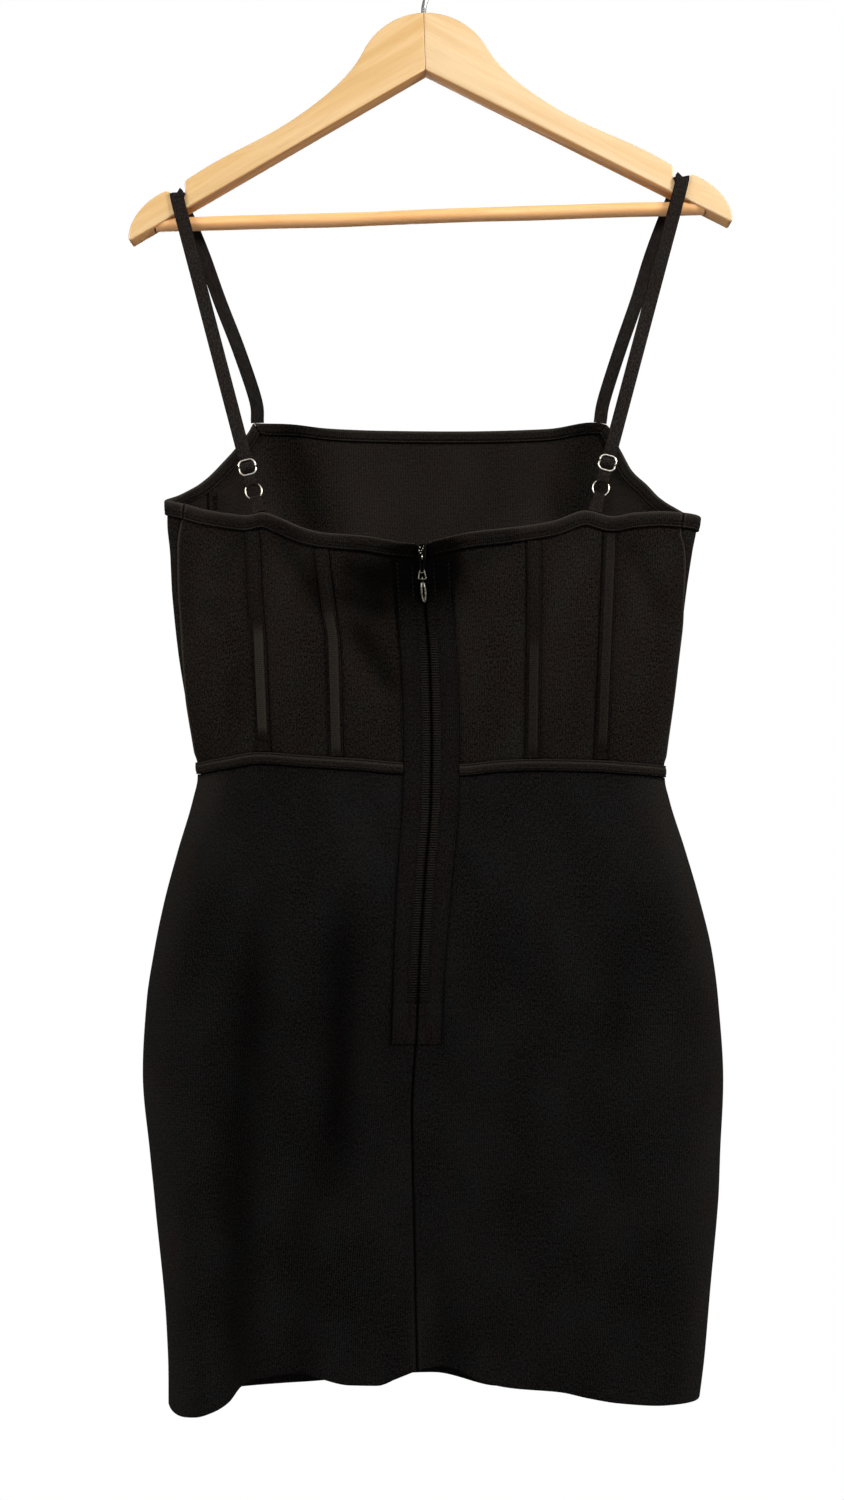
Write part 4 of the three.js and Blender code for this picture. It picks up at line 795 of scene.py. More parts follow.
def sewn_row(points, outward, length=2.5, pitch=3.3, thick=0.3):
    """Stitches along a line on the cloth: each a short thread that dips in at both ends."""
    steps = np.linalg.norm(np.diff(points, axis=0), axis=1)
    along = np.concatenate([[0], np.cumsum(steps)])
    middles = np.arange(pitch, along[-1] - pitch / 2, pitch)
    row_points, row_faces = [], []
    for middle in middles:
        place = np.array([np.interp(middle, along, points[:, k]) for k in range(3)])
        ahead = np.array([np.interp(middle + 0.4, along, points[:, k]) for k in range(3)])
        out = np.array([np.interp(middle, along, outward[:, k]) for k in range(3)])
        run = (ahead - place) / np.linalg.norm(ahead - place)
        side = np.cross(run, out)
        side /= np.linalg.norm(side)
        base = len(row_points)
        row_points.append(place - run * length / 2 - out * thick)
        for along_share in (-0.3, 0.3):
            centre = place + run * length * along_share + out * 0.1
            row_points.extend(centre + thick * v for v in (side, out, -side, -out))
        row_points.append(place + run * length / 2 - out * thick)
        for k in range(4):
            after = (k + 1) % 4
            row_faces.append((base, base + 1 + after, base + 1 + k))
            row_faces.append((base + 1 + k, base + 1 + after, base + 5 + after, base + 5 + k))
            row_faces.append((base + 5 + k, base + 5 + after, base + 9))
    return row_points, row_faces


def joined(parts):
    """Several lots of points and faces as one."""
    points, faces = [], []
    for more_points, more_faces in parts:
        base = len(points)
        points.extend(more_points)
        faces.extend(tuple(i + base for i in face) for face in more_faces)
    return points, faces


def stitched(name, lines):
    """Rows of stitches as one piece, each along a line on the cloth and towards a second line that
    stands out from it."""
    sewn = [sewn_row(line, above - line) for line, above in lines]
    return mesh_piece(name + "_stitches", *joined(sewn), thread, "trim")


def tape_stitches(name, rows):
    """Rows of stitches on a tape, from the angles and heights of each."""
    sunk, above = LAY_GAP + TRIM - 0.3, LAY_GAP + TRIM + 0.7
    return stitched(name, [(cover(*row, sunk), cover(*row, above)) for row in rows])


thread = Finish("sewing_thread", Roughness=0.7, Specular_IOR_Level=0.05)
twist = thread.node("ShaderNodeTexCoord", {}, {}, "Object")
thread.shade(Base_Color=thread.mix(thread.noise(twist, 900).step(0.4, 0.6), srgb(6, 5, 5), srgb(17, 15, 14)))
thread = thread.material
centre_top = float(SEAMS["centre"](NECK_Z))
opening_turn = ZIP_HALF_OPENING / float(pace(centre_top, NECK_Z))
corner_left = float(angle_at(-136.2, -356, "front"))
corner_right = float(angle_at(131.2, -357, "front"))
RIDGE_TOP = -440
underarm_left = float(SEAMS["ridge_left"](RIDGE_TOP))
underarm_right = float(SEAMS["ridge_right"](RIDGE_TOP))
# Each binding's start and stop round the edge, and how much looser than its neighbours it lies
BANDS = [
    ("neck_band_back_right", underarm_right, centre_top - opening_turn, 0),
    ("neck_band_back_left", centre_top + opening_turn, underarm_left, 0),
    ("armhole_band_left", underarm_left, corner_left, ARMHOLE_EASE),
    ("neck_band_front", corner_left, corner_right, 0),
    ("armhole_band_right", corner_right, TURN + underarm_right, ARMHOLE_EASE),
]
for name, start, stop, ease in BANDS:
    count = int((stop - start) * 110) + 12
    angles = np.linspace(start, stop, count)[None, :]
    aside = np.zeros(count)
    aside[[0, -1]] = SEAM_GAP / 2, -SEAM_GAP / 2
    profile, lining, painted_light_and_wear = band_rows(ease)
    outer = under_edge(angles, profile[0][:, None], profile[1][:, None], aside)
    inner = under_edge(angles, lining[0][:, None], lining[1][:, None], aside)
    from_end = np.minimum(angles - start, stop - angles) * pace(angles, top_edge(angles))
    # Painted shade at the binding's ends and in the sag and creases, painted highlights just inside the ends
    # and along the fold.
    painted_light_and_worn_edges = painted_light_and_wear[:, None] - 0.6 * near_line(from_end, 0.7) + 0.4 * near_line(from_end - 1.6, 0.7)
    on_fold = near_line(profile[0], 1.4) * (profile[1] > -KNIT / 2)
    sunk = crease_shade(angles, top_edge(angles) - 8)
    painted_light_and_worn_edges = painted_light_and_worn_edges + 0.18 + (1.2 - on_fold[:, None]) * sunk + 0.2 * on_fold[:, None]
    band = shell(name + "_binding", outer, inner, trim_knit, "trim", [name], painted_light_and_worn_edges)
    fine = np.linspace(start, stop, 6 * count)
    lift = LAY_GAP + ease + TRIM - 0.32
    outside, inside = BAND_OUTSIDE - BAND_STITCH, BAND_INSIDE - BAND_STITCH
    sewn = [(outside, lift, lift + 1), (inside, -KNIT - lift, -KNIT - lift - 1)]
    lines = [(under_edge(fine, drop, sunk), under_edge(fine, drop, above)) for drop, sunk, above in sewn]
    declare_cloth(outer, ["bodice_front_knit"], [stitched(name, lines)])

# Waist band: a flat tape over the waist seam, sewn down along both its edges. At the back it stops
# at the plackets.
centre_waist = float(SEAMS["centre"](BODICE_FOOT))
placket_turn = (float(placket_half(BODICE_FOOT)) + SEAM_GAP) / float(pace(centre_waist, BODICE_FOOT))
WAIST_STITCH = 1.3
WAIST_TAPES = [
    ("back_right", 0, centre_waist - placket_turn),
    ("back_left", centre_waist + placket_turn, math.pi),
    ("front", math.pi, TURN),
]
waist_rows = np.array([0, 0.25, 0.6, 0.95, 1.3, 1.7, 2.3, 3.2, 4.4, 5.6, 6.5, 7.1, 7.5, 7.85, 8.2, 8.55, 8.8])
for name, start, stop in WAIST_TAPES:
    turned = SEWN_GAP / float(pace(start, BODICE_FOOT))
    angles = np.linspace(start + turned, stop - turned, int((stop - start) * 90))[None, :]
    foot = waist_line(angles) + SEAM_GAP / 2
    from_edge = np.minimum(waist_rows, WAIST_BAND - waist_rows)
    face = tape_face(from_edge, WAIST_STITCH, 0.3, WAIST_BAND / 2)[:, None]
    outer = cover(angles, foot + waist_rows[:, None], LAY_GAP + face)
    inner = cover(angles, foot + waist_rows[:, None], LAY_GAP + 0 * face)
    # Painted light over the tape, lighter on its upper half, with painted shade at its edges and stitches and
    # a painted shadow along its foot.
    painted_light_and_wear = tape_painted_light(from_edge, WAIST_STITCH)[:, None]
    painted_light_and_wear = painted_light_and_wear + 0.16 + 0.3 * smoothstep(waist_rows, 4, 7)[:, None]
    painted_light_and_wear = painted_light_and_wear - 0.4 * near_line(waist_rows, 1.2)[:, None]
    tape = shell("waist_tape_" + name, outer, inner, trim_knit, "trim", ["waist_band_" + name], painted_light_and_wear)
    fine = np.linspace(start, stop, 1200)
    sewn_foot = waist_line(fine) + SEAM_GAP / 2
    rows = [(fine, sewn_foot + height) for height in (WAIST_STITCH, WAIST_BAND - WAIST_STITCH)]
    stitches = tape_stitches("waist_tape_" + name, rows)
    declare_cloth(outer, ["bodice_front_knit"], [stitches])

# Waist seam allowance: the raw edges of the bodice and the skirt lie together inside the waist,
# turned down against the skirt. They stop beside the zip.
ALLOWANCE_TURN = 13 / float(pace(centre_waist, BODICE_FOOT))
allowance_angles = np.linspace(centre_waist + ALLOWANCE_TURN, TURN + centre_waist - ALLOWANCE_TURN, 320)
allowance_rows = np.array([-8, -7.7, -7, -5, -3, -1, 0.6, 1.3, 1.6])
allowance_thin = 0.4 * near_line(np.minimum(allowance_rows + 8, 1.6 - allowance_rows), 0.4)[:, None]
allowance_heights = waist_line(allowance_angles) + allowance_rows[:, None]
allowance_outer = cover(allowance_angles, allowance_heights, -KNIT - 0.2 - allowance_thin)
allowance_inner = cover(allowance_angles, allowance_heights, -KNIT - 1.4 + allowance_thin)
allowance = shell("waist_seam_allowance", allowance_outer, allowance_inner, skirt_knit, "knit")
declare_cloth(allowance_outer, ["skirt_front_knit"])

# Boning channels: tapes sewn over the four back seams by a row of stitches near each edge, crowned
# where the bone lies inside them and flat above and below it.
BONE_STITCH = 1.2
BONE_CROWN = 0.9
# The foot and the top of each bone, and how much painted highlight its channel's crown gets
CHANNELS = [
    ("outer_right", (-600, -448), 0.25),
    ("inner_right", (-606, -528), 0.26),
    ("inner_left", (-606, -504), 0.42),
    ("outer_left", (-592, -517), 0.5),
]
channel_shares = np.linspace(UNDER_WAIST_BAND, UNDER_NECK_BAND, 230)
for name, (bone_foot, bone_top), crown_highlight in CHANNELS:
    reference = BODICE_FOOT + BODICE_HEIGHT * channel_shares
    middle = SEAMS[name](reference)
    heights = bodice_z(middle, channel_shares)
    heights[0] += SEAM_GAP
    heights[-1] -= SEAM_GAP
    across = np.array([0, 0.2, 0.5, 0.85, 1.2, 1.6, 2.2, 3, 4, 5, 6, 7, 7.8, 8.4, 8.8, 9.15, 9.5, 9.8, 10])
    angles = middle[:, None] - (across - BONE_WIDTH / 2) / pace(middle, heights)[:, None]
    boned = smoothstep(heights, bone_foot - 5, bone_foot + 5)
    boned = boned * (1 - smoothstep(heights, bone_top - 8, bone_top + 8))
    from_edge = np.minimum(across, BONE_WIDTH - across)[None, :]
    face = tape_face(from_edge, BONE_STITCH, 0.12 + BONE_CROWN * boned[:, None], BONE_WIDTH / 2)
    ribs = 0.09 * np.sin(heights * TURN / 1.6)[:, None] * smoothstep(from_edge, 0.8, 1.6)
    outer = cover(angles, heights[:, None], LAY_GAP + face + ribs)
    inner = cover(angles, heights[:, None], LAY_GAP + 0 * face)
    crowned = smoothstep(from_edge, 0.7, 1.8) * boned[:, None]
    end_line = near_line(heights - bone_foot + 6, 0.8)[:, None] * smoothstep(from_edge, 0.8, 1.6)
    end_line = end_line - crease_shade(angles, heights[:, None])
    ribbed = 2.2 * ribs * boned[:, None]
    # Painted shade at the tape's edges and stitches, below the bone's foot and in the creases; painted
    # highlights on the crown over the bone and on the rib crests.
    painted_light_and_wear = 0.7 * tape_painted_light(from_edge, BONE_STITCH) + crown_highlight * crowned + ribbed - 0.6 * end_line
    node = "bone_channel_" + name
    channel = shell(node + "_tape", outer, inner, trim_knit, "trim", [node], painted_light_and_wear)
    edges = (BONE_STITCH, BONE_WIDTH - BONE_STITCH)
    rows = [(middle - (edge - BONE_WIDTH / 2) / pace(middle, heights), heights) for edge in edges]
    declare_cloth(outer, ["bodice_front_knit"], [tape_stitches(node, rows)])

# Plackets: a facing on each side of the zip, from the neck band to a square end on the skirt. The
# zip's coil presses fine ribs through it, and a stitched box ends the zip.
ZIP_BOTTOM = -785
RIB_TOP = -508
RIB_PITCH = 1.8
RIB_HALF = 7.4
BOX_HALF = 7.8
EDGE_STITCH = 1.5
placket_top = float(top_edge(centre_top)) - BAND_OUTSIDE - SEAM_GAP
placket_knit = knit_finish("placket_knit", srgb(5, 4, 4), srgb(29, 26, 25), 1.5, 1.2)
for side, sign in (("right", -1), ("left", 1)):
    heights = np.concatenate([
        np.linspace(placket_top, PLACKET_BOTTOM + 1.2, 760),
        PLACKET_BOTTOM + np.array([0.8, 0.45, 0.2, 0]),
    ])
    near_slit = np.array([0, 0.25, 0.6, 1, 1.5, 2.1])
    shares = np.linspace(0, 1, 22)[1:]
    half = placket_half(heights)[:, None]
    across = np.hstack([
        SEAM_GAP / 2 + near_slit + 0 * half,
        SEAM_GAP / 2 + 2.1 + (half - SEAM_GAP / 2 - 2.1 - 2.4) * shares[:-4] / shares[-5],
        half + np.array([-1.9, -1.5, -1.1, -0.7, -0.3, 0]),
    ])
    middle = SEAMS["centre"](heights)[:, None]
    angles = middle + sign * across / pace(middle, heights[:, None])
    under_band = top_edge(angles) - (BAND_OUTSIDE + SEAM_GAP) / edge_run(angles)[1]
    z = np.minimum(heights[:, None], under_band)
    from_edge = half - across
    soft = soft_edge(np.minimum(from_edge, z - PLACKET_BOTTOM), 0.3)
    ribbed = smoothstep(z, ZIP_BOTTOM - 1, ZIP_BOTTOM + 3) * (1 - smoothstep(z, RIB_TOP - 25, RIB_TOP))
    ribs = 0.26 * np.sin(z * TURN / RIB_PITCH) * ribbed * (1 - smoothstep(across, RIB_HALF - 1.2, RIB_HALF))
    pressed = 0.35 * near_line(across - 3.6, 2.2) * smoothstep(z, ZIP_BOTTOM, ZIP_BOTTOM + 12)
    boxed = near_line(across - BOX_HALF, 0.5) * smoothstep(z, ZIP_BOTTOM - 1, ZIP_BOTTOM)
    boxed = boxed + near_line(z - ZIP_BOTTOM, 0.5) * (1 - smoothstep(across, BOX_HALF, BOX_HALF + 0.8))
    edges = near_line(from_edge - EDGE_STITCH, 0.45) + near_line(z - PLACKET_BOTTOM - EDGE_STITCH, 0.45)
    slit = near_line(across - SEAM_GAP / 2, 0.6)
    face = TRIM * soft + ribs + pressed - 0.4 * boxed - 0.3 * edges - 0.95 * slit
    outer = cover(angles, z, LAY_GAP + np.maximum(face, 0.15))
    inner = cover(angles, z, LAY_GAP + 0 * face)
    outline = near_line(from_edge, 0.5) + near_line(z - PLACKET_BOTTOM, 0.5)
    # Painted highlights on the ribs' crests and painted shade in their troughs, in the stitches, along the
    # edges and in the slit; lighter below the zip's end, painted shade in the creases.
    painted_light_and_wear = 2.5 * ribs - 0.4 * boxed - 0.25 * edges - 0.5 * outline - 1.1 * near_line(across, 1.1)
    painted_light_and_wear = painted_light_and_wear + 0.22 * (1 - smoothstep(z, ZIP_BOTTOM - 2, ZIP_BOTTOM)) + crease_shade(angles, z)
    node = "placket_" + side
    placket = shell(node + "_facing", outer, inner, placket_knit, "trim", [node], painted_light_and_wear)
    down = np.linspace(placket_top - 1, ZIP_BOTTOM, 500)
    to_foot = np.linspace(placket_top - 1, PLACKET_BOTTOM + EDGE_STITCH, 500)
    foot_stitch = PLACKET_BOTTOM + EDGE_STITCH
    runs = [
        (down, BOX_HALF + 0 * down),
        (to_foot, placket_half(to_foot) - EDGE_STITCH),
        (np.full(60, float(ZIP_BOTTOM)), np.linspace(0.6, BOX_HALF, 60)),
        (np.full(90, foot_stitch), np.linspace(0.8, PLACKET_FOOT_WIDTH - EDGE_STITCH, 90)),
    ]
    rows = []
    for run_z, run_across in runs:
        centre = SEAMS["centre"](run_z)
        row = centre + sign * run_across / pace(centre, run_z)
        under_band = top_edge(row) - (BAND_OUTSIDE + 1) / edge_run(row)[1]
        rows.append((row, np.minimum(run_z, under_band)))
    stitches = tape_stitches(node, rows)
    declare_cloth(outer, ["skirt_back_" + side + "_knit"], [stitches])

# Zip: two woven tapes inside the opening, each with half of a nylon coil along its edge. The coil's
# turns lock past each other on the centre line.
ZIP_TAPE_WIDTH = 12
COIL_PITCH = 1.5
COIL_REACH = 1.7
COIL_WIRE = 0.42
TAPE_OUT = -KNIT - LAY_GAP
TAPE_THICK = 1
COIL_OUT = TAPE_OUT - TAPE_THICK - 0.65
tape_weave = knit_finish("zip_tape_weave", srgb(10, 10, 11), srgb(24, 24, 26), 0.9, 0.7)
for side, sign in (("right", -1), ("left", 1)):
    heights = np.linspace(placket_top - 3, ZIP_BOTTOM, 160)
    across = np.array([SEAM_GAP / 2, 0.5, 1.2, 2.4, 4, 6, 8, 10, 11.2, 11.7, ZIP_TAPE_WIDTH])
    middle = SEAMS["centre"](heights)[:, None]
    angles = middle + sign * across / pace(middle, heights[:, None])
    thin = 0.3 * (near_line(ZIP_TAPE_WIDTH - across, 0.3) + near_line(across - SEAM_GAP / 2, 0.3))
    outer = cover(angles, heights[:, None], TAPE_OUT - thin)
    inner = cover(angles, heights[:, None], TAPE_OUT - TAPE_THICK + thin)
    tape = shell("zip_tape_" + side + "_weave", outer, inner, tape_weave, "zip_tape", ["zip_tape_" + side])
    turns = np.arange(placket_top - 6, ZIP_BOTTOM + 3, -COIL_PITCH)
    turns = turns + (0 if sign > 0 else COIL_PITCH / 2)
    centre = SEAMS["centre"](turns)
    rooted = cover(centre + sign * COIL_REACH / pace(centre, turns), turns, COIL_OUT)
    locked = cover(centre - sign * 0.5 / pace(centre, turns), turns, COIL_OUT)
    inward = cover(centre, turns, TAPE_OUT - 2) - cover(centre, turns, TAPE_OUT - 1)
    teeth = []
    for root, lock, inside in zip(rooted, locked, inward):
        line = np.array([root, (root + lock) / 2, lock])
        reach = float(np.linalg.norm(lock - root))
        points, faces = sewn_row(line, np.repeat(inside[None], 3, 0), reach, reach * 0.499, COIL_WIRE)
        teeth.append((points[:10], faces[:12]))
    coil = mesh_piece("zip_coil_" + side, *joined(teeth), tape_weave, "zip_tape")
    declare_cloth(outer, ["bodice_back_centre_" + side + "_knit"], [coil])

# Inside the front, the seam allowances of the two side seams are serged: a narrow double layer with
# looped thread along it, from the binding down to the waist.
SERGE_TOP = -447
SERGE_HALF = 3.4
SERGE_PITCH = 2.4


def tube(path, radius, sides, closed=False):
    """Points and faces of a round wire along a path."""
    path = np.asarray(path, float)
    count = len(path)
    radii = np.broadcast_to(np.asarray(radius, float), (count,))
    if closed:
        runs = np.roll(path, -1, 0) - np.roll(path, 1, 0)
    else:
        runs = np.gradient(path, axis=0)
    runs /= np.linalg.norm(runs, axis=1, keepdims=True)
    start = np.eye(3)[np.argmin(np.abs(runs[0]))]
    side = np.cross(runs[0], start)
    sides_of = []
    for run in runs:
        side = side - run * side.dot(run)
        side /= np.linalg.norm(side)
        sides_of.append(side.copy())
    twist_back = 0
    if closed:
        end = sides_of[-1] - runs[0] * sides_of[-1].dot(runs[0])
        end /= np.linalg.norm(end)
        twist_back = math.atan2(np.cross(sides_of[0], end).dot(runs[0]), sides_of[0].dot(end))
    points = []
    for i, (place, run, side) in enumerate(zip(path, runs, sides_of)):
        other = np.cross(run, side)
        for k in range(sides):
            turn = TURN * k / sides - twist_back * i / count
            points.append(place + radii[i] * (side * math.cos(turn) + other * math.sin(turn)))
    faces = []
    for i in range(count if closed else count - 1):
        for k in range(sides):
            after, ahead = (k + 1) % sides, (i + 1) % count
            faces.append((i * sides + k, i * sides + after, ahead * sides + after, ahead * sides + k))
    if not closed:
        faces.append(tuple(range(sides))[::-1])
        faces.append(tuple((count - 1) * sides + k for k in range(sides)))
    return points, faces


for side, seam in (("left", "front_left"), ("right", "front_end")):
    reference = np.linspace(BODICE_FOOT + 1, SERGE_TOP, 90)
    middle = SEAMS[seam](reference)
    lowest = waist_line(middle) + 2
    highest = top_edge(middle) - (BAND_INSIDE + 1.2) / edge_run(middle)[1]
    heights = lowest + (highest - lowest) * np.linspace(0, 1, 90)
    across = np.array([-1, -0.92, -0.6, -0.2, 0.2, 0.6, 0.92, 1]) * SERGE_HALF
    angles = middle[:, None] + across / pace(middle, heights)[:, None]
    wave = 0.25 * np.sin(heights / 5.1)[:, None]
    thin = 0.4 * (np.abs(across) > 0.97 * SERGE_HALF)
    outer = cover(angles, heights[:, None], -KNIT - 0.4 - thin + 0 * wave)
    inner = cover(angles, heights[:, None], -KNIT - 1.9 + thin + wave)
    allowance = shell("side_seam_allowance_" + side, outer, inner, bodice_knit, "knit")
    zigzag_z = np.arange(lowest[0] + 2, highest[-1] - 2, SERGE_PITCH / 2)
    zigzag_middle = np.interp(zigzag_z, heights, middle)
    swing = SERGE_HALF * np.where(np.arange(len(zigzag_z)) % 2, 1, -0.2)
    path = cover(zigzag_middle + swing / pace(zigzag_middle, zigzag_z), zigzag_z, -KNIT - 2.3)
    serging = mesh_piece("side_seam_serging_" + side, *tube(path, 0.34, 5), thread, "trim")
    declare_cloth(outer, ["bodice_front_knit"], [serging])

# Straps: flat elastic with a ribbed face, doubled back through a slider and round a ring at the
# back, over the notch of the hanger and down to the front binding. A sewn tab holds each ring.
HANGER_TILT = math.radians(1.8)
HANGER_THICKNESS = 12
HANGER_EDGE = 1.2
NOTCH_U = 185
NOTCH_FLOOR = -190
NOTCH_WIDTH = 10.4
STRAP_WIDTH = 10
STRAP_SEAT = SEAM_GAP + TRIM / 2
RING_RADIUS = 5.95
RING_WIRE = 0.44
RING_UP = {"left": 16.4, "right": 18.2}
RING_TURN = 1.45
TAB_Z = -433
FRONT_END_Z = -356
STRAIGHT_AT = (64, 90, 135, 180)
ADJUSTER_UP = {"left": 34.6, "right": 37.4}
strap_elastic = knit_finish("strap_elastic", srgb(16, 14, 13), srgb(47, 43, 40), 1.1, 0.9)

half_circle = np.radians(np.arange(0, 181, 20))
# Rows of the strap's lower end: above the ring's fold, then above the slider's bar, each with how
# far behind its middle it lies and its width
STRAP_FROM_RING = [
    (11.5, 3.4, 9.6),
    (8.5, 3.3, 9.2),
    (4.5, 2.6, 9),
    *[(-RING_TURN * math.sin(a), RING_TURN * math.cos(a), 8.8) for a in half_circle],
    (3, -1.5, 8.9),
    (5.6, -0.6, 9.1),
]
STRAP_FROM_BAR = [
    (-7.8, 1.3, 9.5),
    (-5.8, 1.95, 9.8),
    (-4.1, 1.45, 10),
    (-2.9, 0, 10),
    (-1.7, -1.45, 10),
    (-0.9, -1.9, 10),
    (0, -1.95, 10),
    (0.9, -1.9, 10),
    (1.7, -1.45, 10),
    (2.9, 0, 10),
    (4.1, 1.45, 10),
    (5.8, 1.95, 10),
    (7.5, 1.7, 10),
    (11, 0.8, 10),
    (17, 0, 10),
]
TAB_FROM_BAND = [(0.4, 0.8, 10.6), (3, 0.9, 10), (6, 1.3, 8.8)]
TAB_FROM_RING = [(RING_TURN * math.sin(a), RING_TURN * math.cos(a), 7.7) for a in half_circle]
# Each strap's side, the x of its tab and of its front end, and its front leg from foot to notch
STRAPS = [
    (
        "left", -1, -126.3, -133.5,
        [(-125.9, 21, -339), (-138.1, 18, -302), (-152, 14.6, -266), (-165, 11, -229.5)],
    ),
    (
        "right", 1, 117, 127.2,
        [(139, 21, -339), (150.5, 18, -302), (162.8, 14.6, -266), (174.1, 11, -229.5)],
    ),
]
tilt_across = np.array([math.cos(HANGER_TILT), 0, math.sin(HANGER_TILT)])


def from_hanger(u, y, w):
    """From the hanger's own frame, u to the right and w up, to the scene's."""
    c, s = math.cos(HANGER_TILT), math.sin(HANGER_TILT)
    return np.stack(np.broadcast_arrays(u * c - w * s, y, u * s + w * c), -1)


def unit(vector):
    return vector / np.linalg.norm(vector)


def finer(rows, times):
    """Rows of numbers with more between them, on a smooth curve through all."""
    rows = np.asarray(rows, float)
    ends = np.concatenate([2 * rows[:1] - rows[1:2], rows, 2 * rows[-1:] - rows[-2:-1]])
    made = []
    for i in range(1, len(ends) - 2):
        a, b, c, d = ends[i - 1 : i + 3]
        for t in np.arange(times) / times:
            bend = (2 * a - 5 * b + 4 * c - d) * t**2 + (3 * b - a - 3 * c + d) * t**3
            made.append(0.5 * (2 * b + (c - a) * t + bend))
    return np.array(made + [rows[-1]])


def ribbon(name, path, widths, across_at, node, draped=0):
    """A flat strap along a path, a little thinner at its edges. Where it is draped, its edges follow
    the round of a ring. Returns it and its face."""
    runs = np.gradient(path, axis=0)
    runs /= np.linalg.norm(runs, axis=1, keepdims=True)
    wide = across_at - runs * np.einsum("ij,ij->i", across_at, runs)[:, None]
    wide /= np.linalg.norm(wide, axis=1, keepdims=True)
    normal = np.cross(runs, wide)
    shares = np.array([-0.5, -0.48, -0.43, -0.25, 0, 0.25, 0.43, 0.48, 0.5])
    thick = TRIM / 2 * np.array([0.35, 0.75, 0.95, 1, 1, 1, 0.95, 0.75, 0.35])
    across = widths[:, None] * shares
    middle = path[:, None] + wide[:, None] * across[..., None]
    falls = 1.25 * (RING_RADIUS - np.sqrt(RING_RADIUS**2 - np.minimum(np.abs(across), 5) ** 2))
    middle = middle + falls[..., None] * np.broadcast_to(draped, path.shape)[:, None]
    outer = middle - normal[:, None] * thick[:, None]
    inner = middle + normal[:, None] * thick[:, None]
    # Painted highlight just inside the strap's edges and painted shade along them.
    painted_light_and_wear = 0.25 * near_line(np.abs(shares) - 0.4, 0.05) - 0.7 * near_line(np.abs(shares) - 0.5, 0.03)
    return shell(name, outer, inner, strap_elastic, "strap", [node], painted_light_and_wear), outer


hardware_frames = {}
for side, sign, tab_x, front_x, front_leg in STRAPS:
    u = sign * NOTCH_U
    reach = HANGER_THICKNESS / 2 - HANGER_EDGE
    turn = HANGER_EDGE + STRAP_SEAT
    over = []
    for degrees in (-180, -150, -120, -92, -88, -60, -30, 0):
        front = 1 if degrees > -90 else -1
        angle = math.radians(degrees)
        y = front * reach + turn * math.cos(angle)
        over.append(from_hanger(u, y, NOTCH_FLOOR - HANGER_EDGE - turn * math.sin(angle)))
    tab_angle = float(angle_at(tab_x, TAB_Z, "back"))
    tab_top = under_edge(tab_angle, 0, -KNIT / 2)
    leg_top = from_hanger(u, -(HANGER_THICKNESS / 2 + STRAP_SEAT + 0.3), NOTCH_FLOOR - 6)
    up = unit(leg_top - tab_top)
    wide = unit(tilt_across - up * tilt_across.dot(up))
    behind = unit(np.cross(up, wide))
    behind = behind if behind[1] > 0 else -behind
    hardware_frames[side] = (tab_top, up, wide, behind)

    ring_fold = RING_UP[side] + RING_RADIUS
    rows = [(ADJUSTER_UP[side] - 0.5, 2.2, 9.6)]
    rows += [(ring_fold + s, out, width) for s, out, width in STRAP_FROM_RING]
    rows += [(ADJUSTER_UP[side] + s, out, width) for s, out, width in STRAP_FROM_BAR]
    loop = finer(rows, 3)
    loop_path = tab_top + loop[:, :1] * up + loop[:, 1:2] * behind
    front_angle = float(angle_at(front_x, FRONT_END_Z, "front"))
    front_end = under_edge(front_angle, -SEAM_GAP, -KNIT / 2)
    rest = [tab_top + s * up for s in STRAIGHT_AT] + [leg_top] + over
    rest += [np.array(point, float) for point in front_leg[::-1]] + [front_end]
    rest = finer([loop_path[-1]] + rest, 8)[1:]
    path = np.concatenate([loop_path, rest])
    widths = np.concatenate([loop[:, 2], np.full(len(rest), STRAP_WIDTH)])
    across_at = np.repeat([wide, tilt_across], [len(loop), len(rest)], 0)
    draped = np.zeros_like(path)
    draped[: len(loop)] = -near_line(loop[:, :1] - ring_fold, 3.2) * up
    strap, face = ribbon("strap_" + side + "_elastic", path, widths, across_at, "strap_" + side, draped)
    declare_cloth(face, ["hanger_arm_" + side])
    tab_fold = RING_UP[side] - RING_RADIUS
    rows = [(s, -out, width) for s, out, width in TAB_FROM_BAND]
    rows += [(tab_fold + s, out, width) for s, out, width in TAB_FROM_RING[::-1]]
    tab_rows = finer(rows + TAB_FROM_BAND[::-1], 3)
    tab_path = tab_top + tab_rows[:, :1] * up + tab_rows[:, 1:2] * behind
    across_at = np.repeat(wide[None], len(tab_rows), 0)
    draped = near_line(tab_rows[:, :1] - tab_fold, 3.2) * up
    node = "strap_tab_" + side
    tab, face = ribbon(node + "_loop", tab_path, tab_rows[:, 2], across_at, node, draped)
    declare_cloth(face, ["strap_ring_" + side])

# Rings and sliders of the straps: bright plated wire bent and closed to a circle, and a cast figure
# of eight whose sides pinch in at the bar that the strap wraps.
ADJUSTER_WIDTH = 13.4
ADJUSTER_HEIGHT = 12.3
ADJUSTER_ROUND = 3.9
ADJUSTER_WIRE = 0.68
ADJUSTER_BAR = 0.65
WIRE_SIDES = 12
silver = Finish("plated_silver", Metallic=1)
place = silver.node("ShaderNodeTexCoord", {}, {}, "Object")
tarnish = silver.noise(place, 420, 3).step(0.35, 0.75)
# Painted shade: where the adjuster's sides pinch in, the plating is painted dark.
pinch = silver.node("ShaderNodeAttribute", {"attribute_name": "painted_light_and_wear"}, {}, 2)
bright = silver.mix(tarnish, srgb(252, 248, 240), srgb(232, 216, 188))
silver.shade(
    Base_Color=silver.mix((0 - pinch).step(0.1, 0.9) * 0.9, bright, srgb(48, 42, 38)),
    Roughness=tarnish * 0.12 + 0.3,
)
silver = silver.material


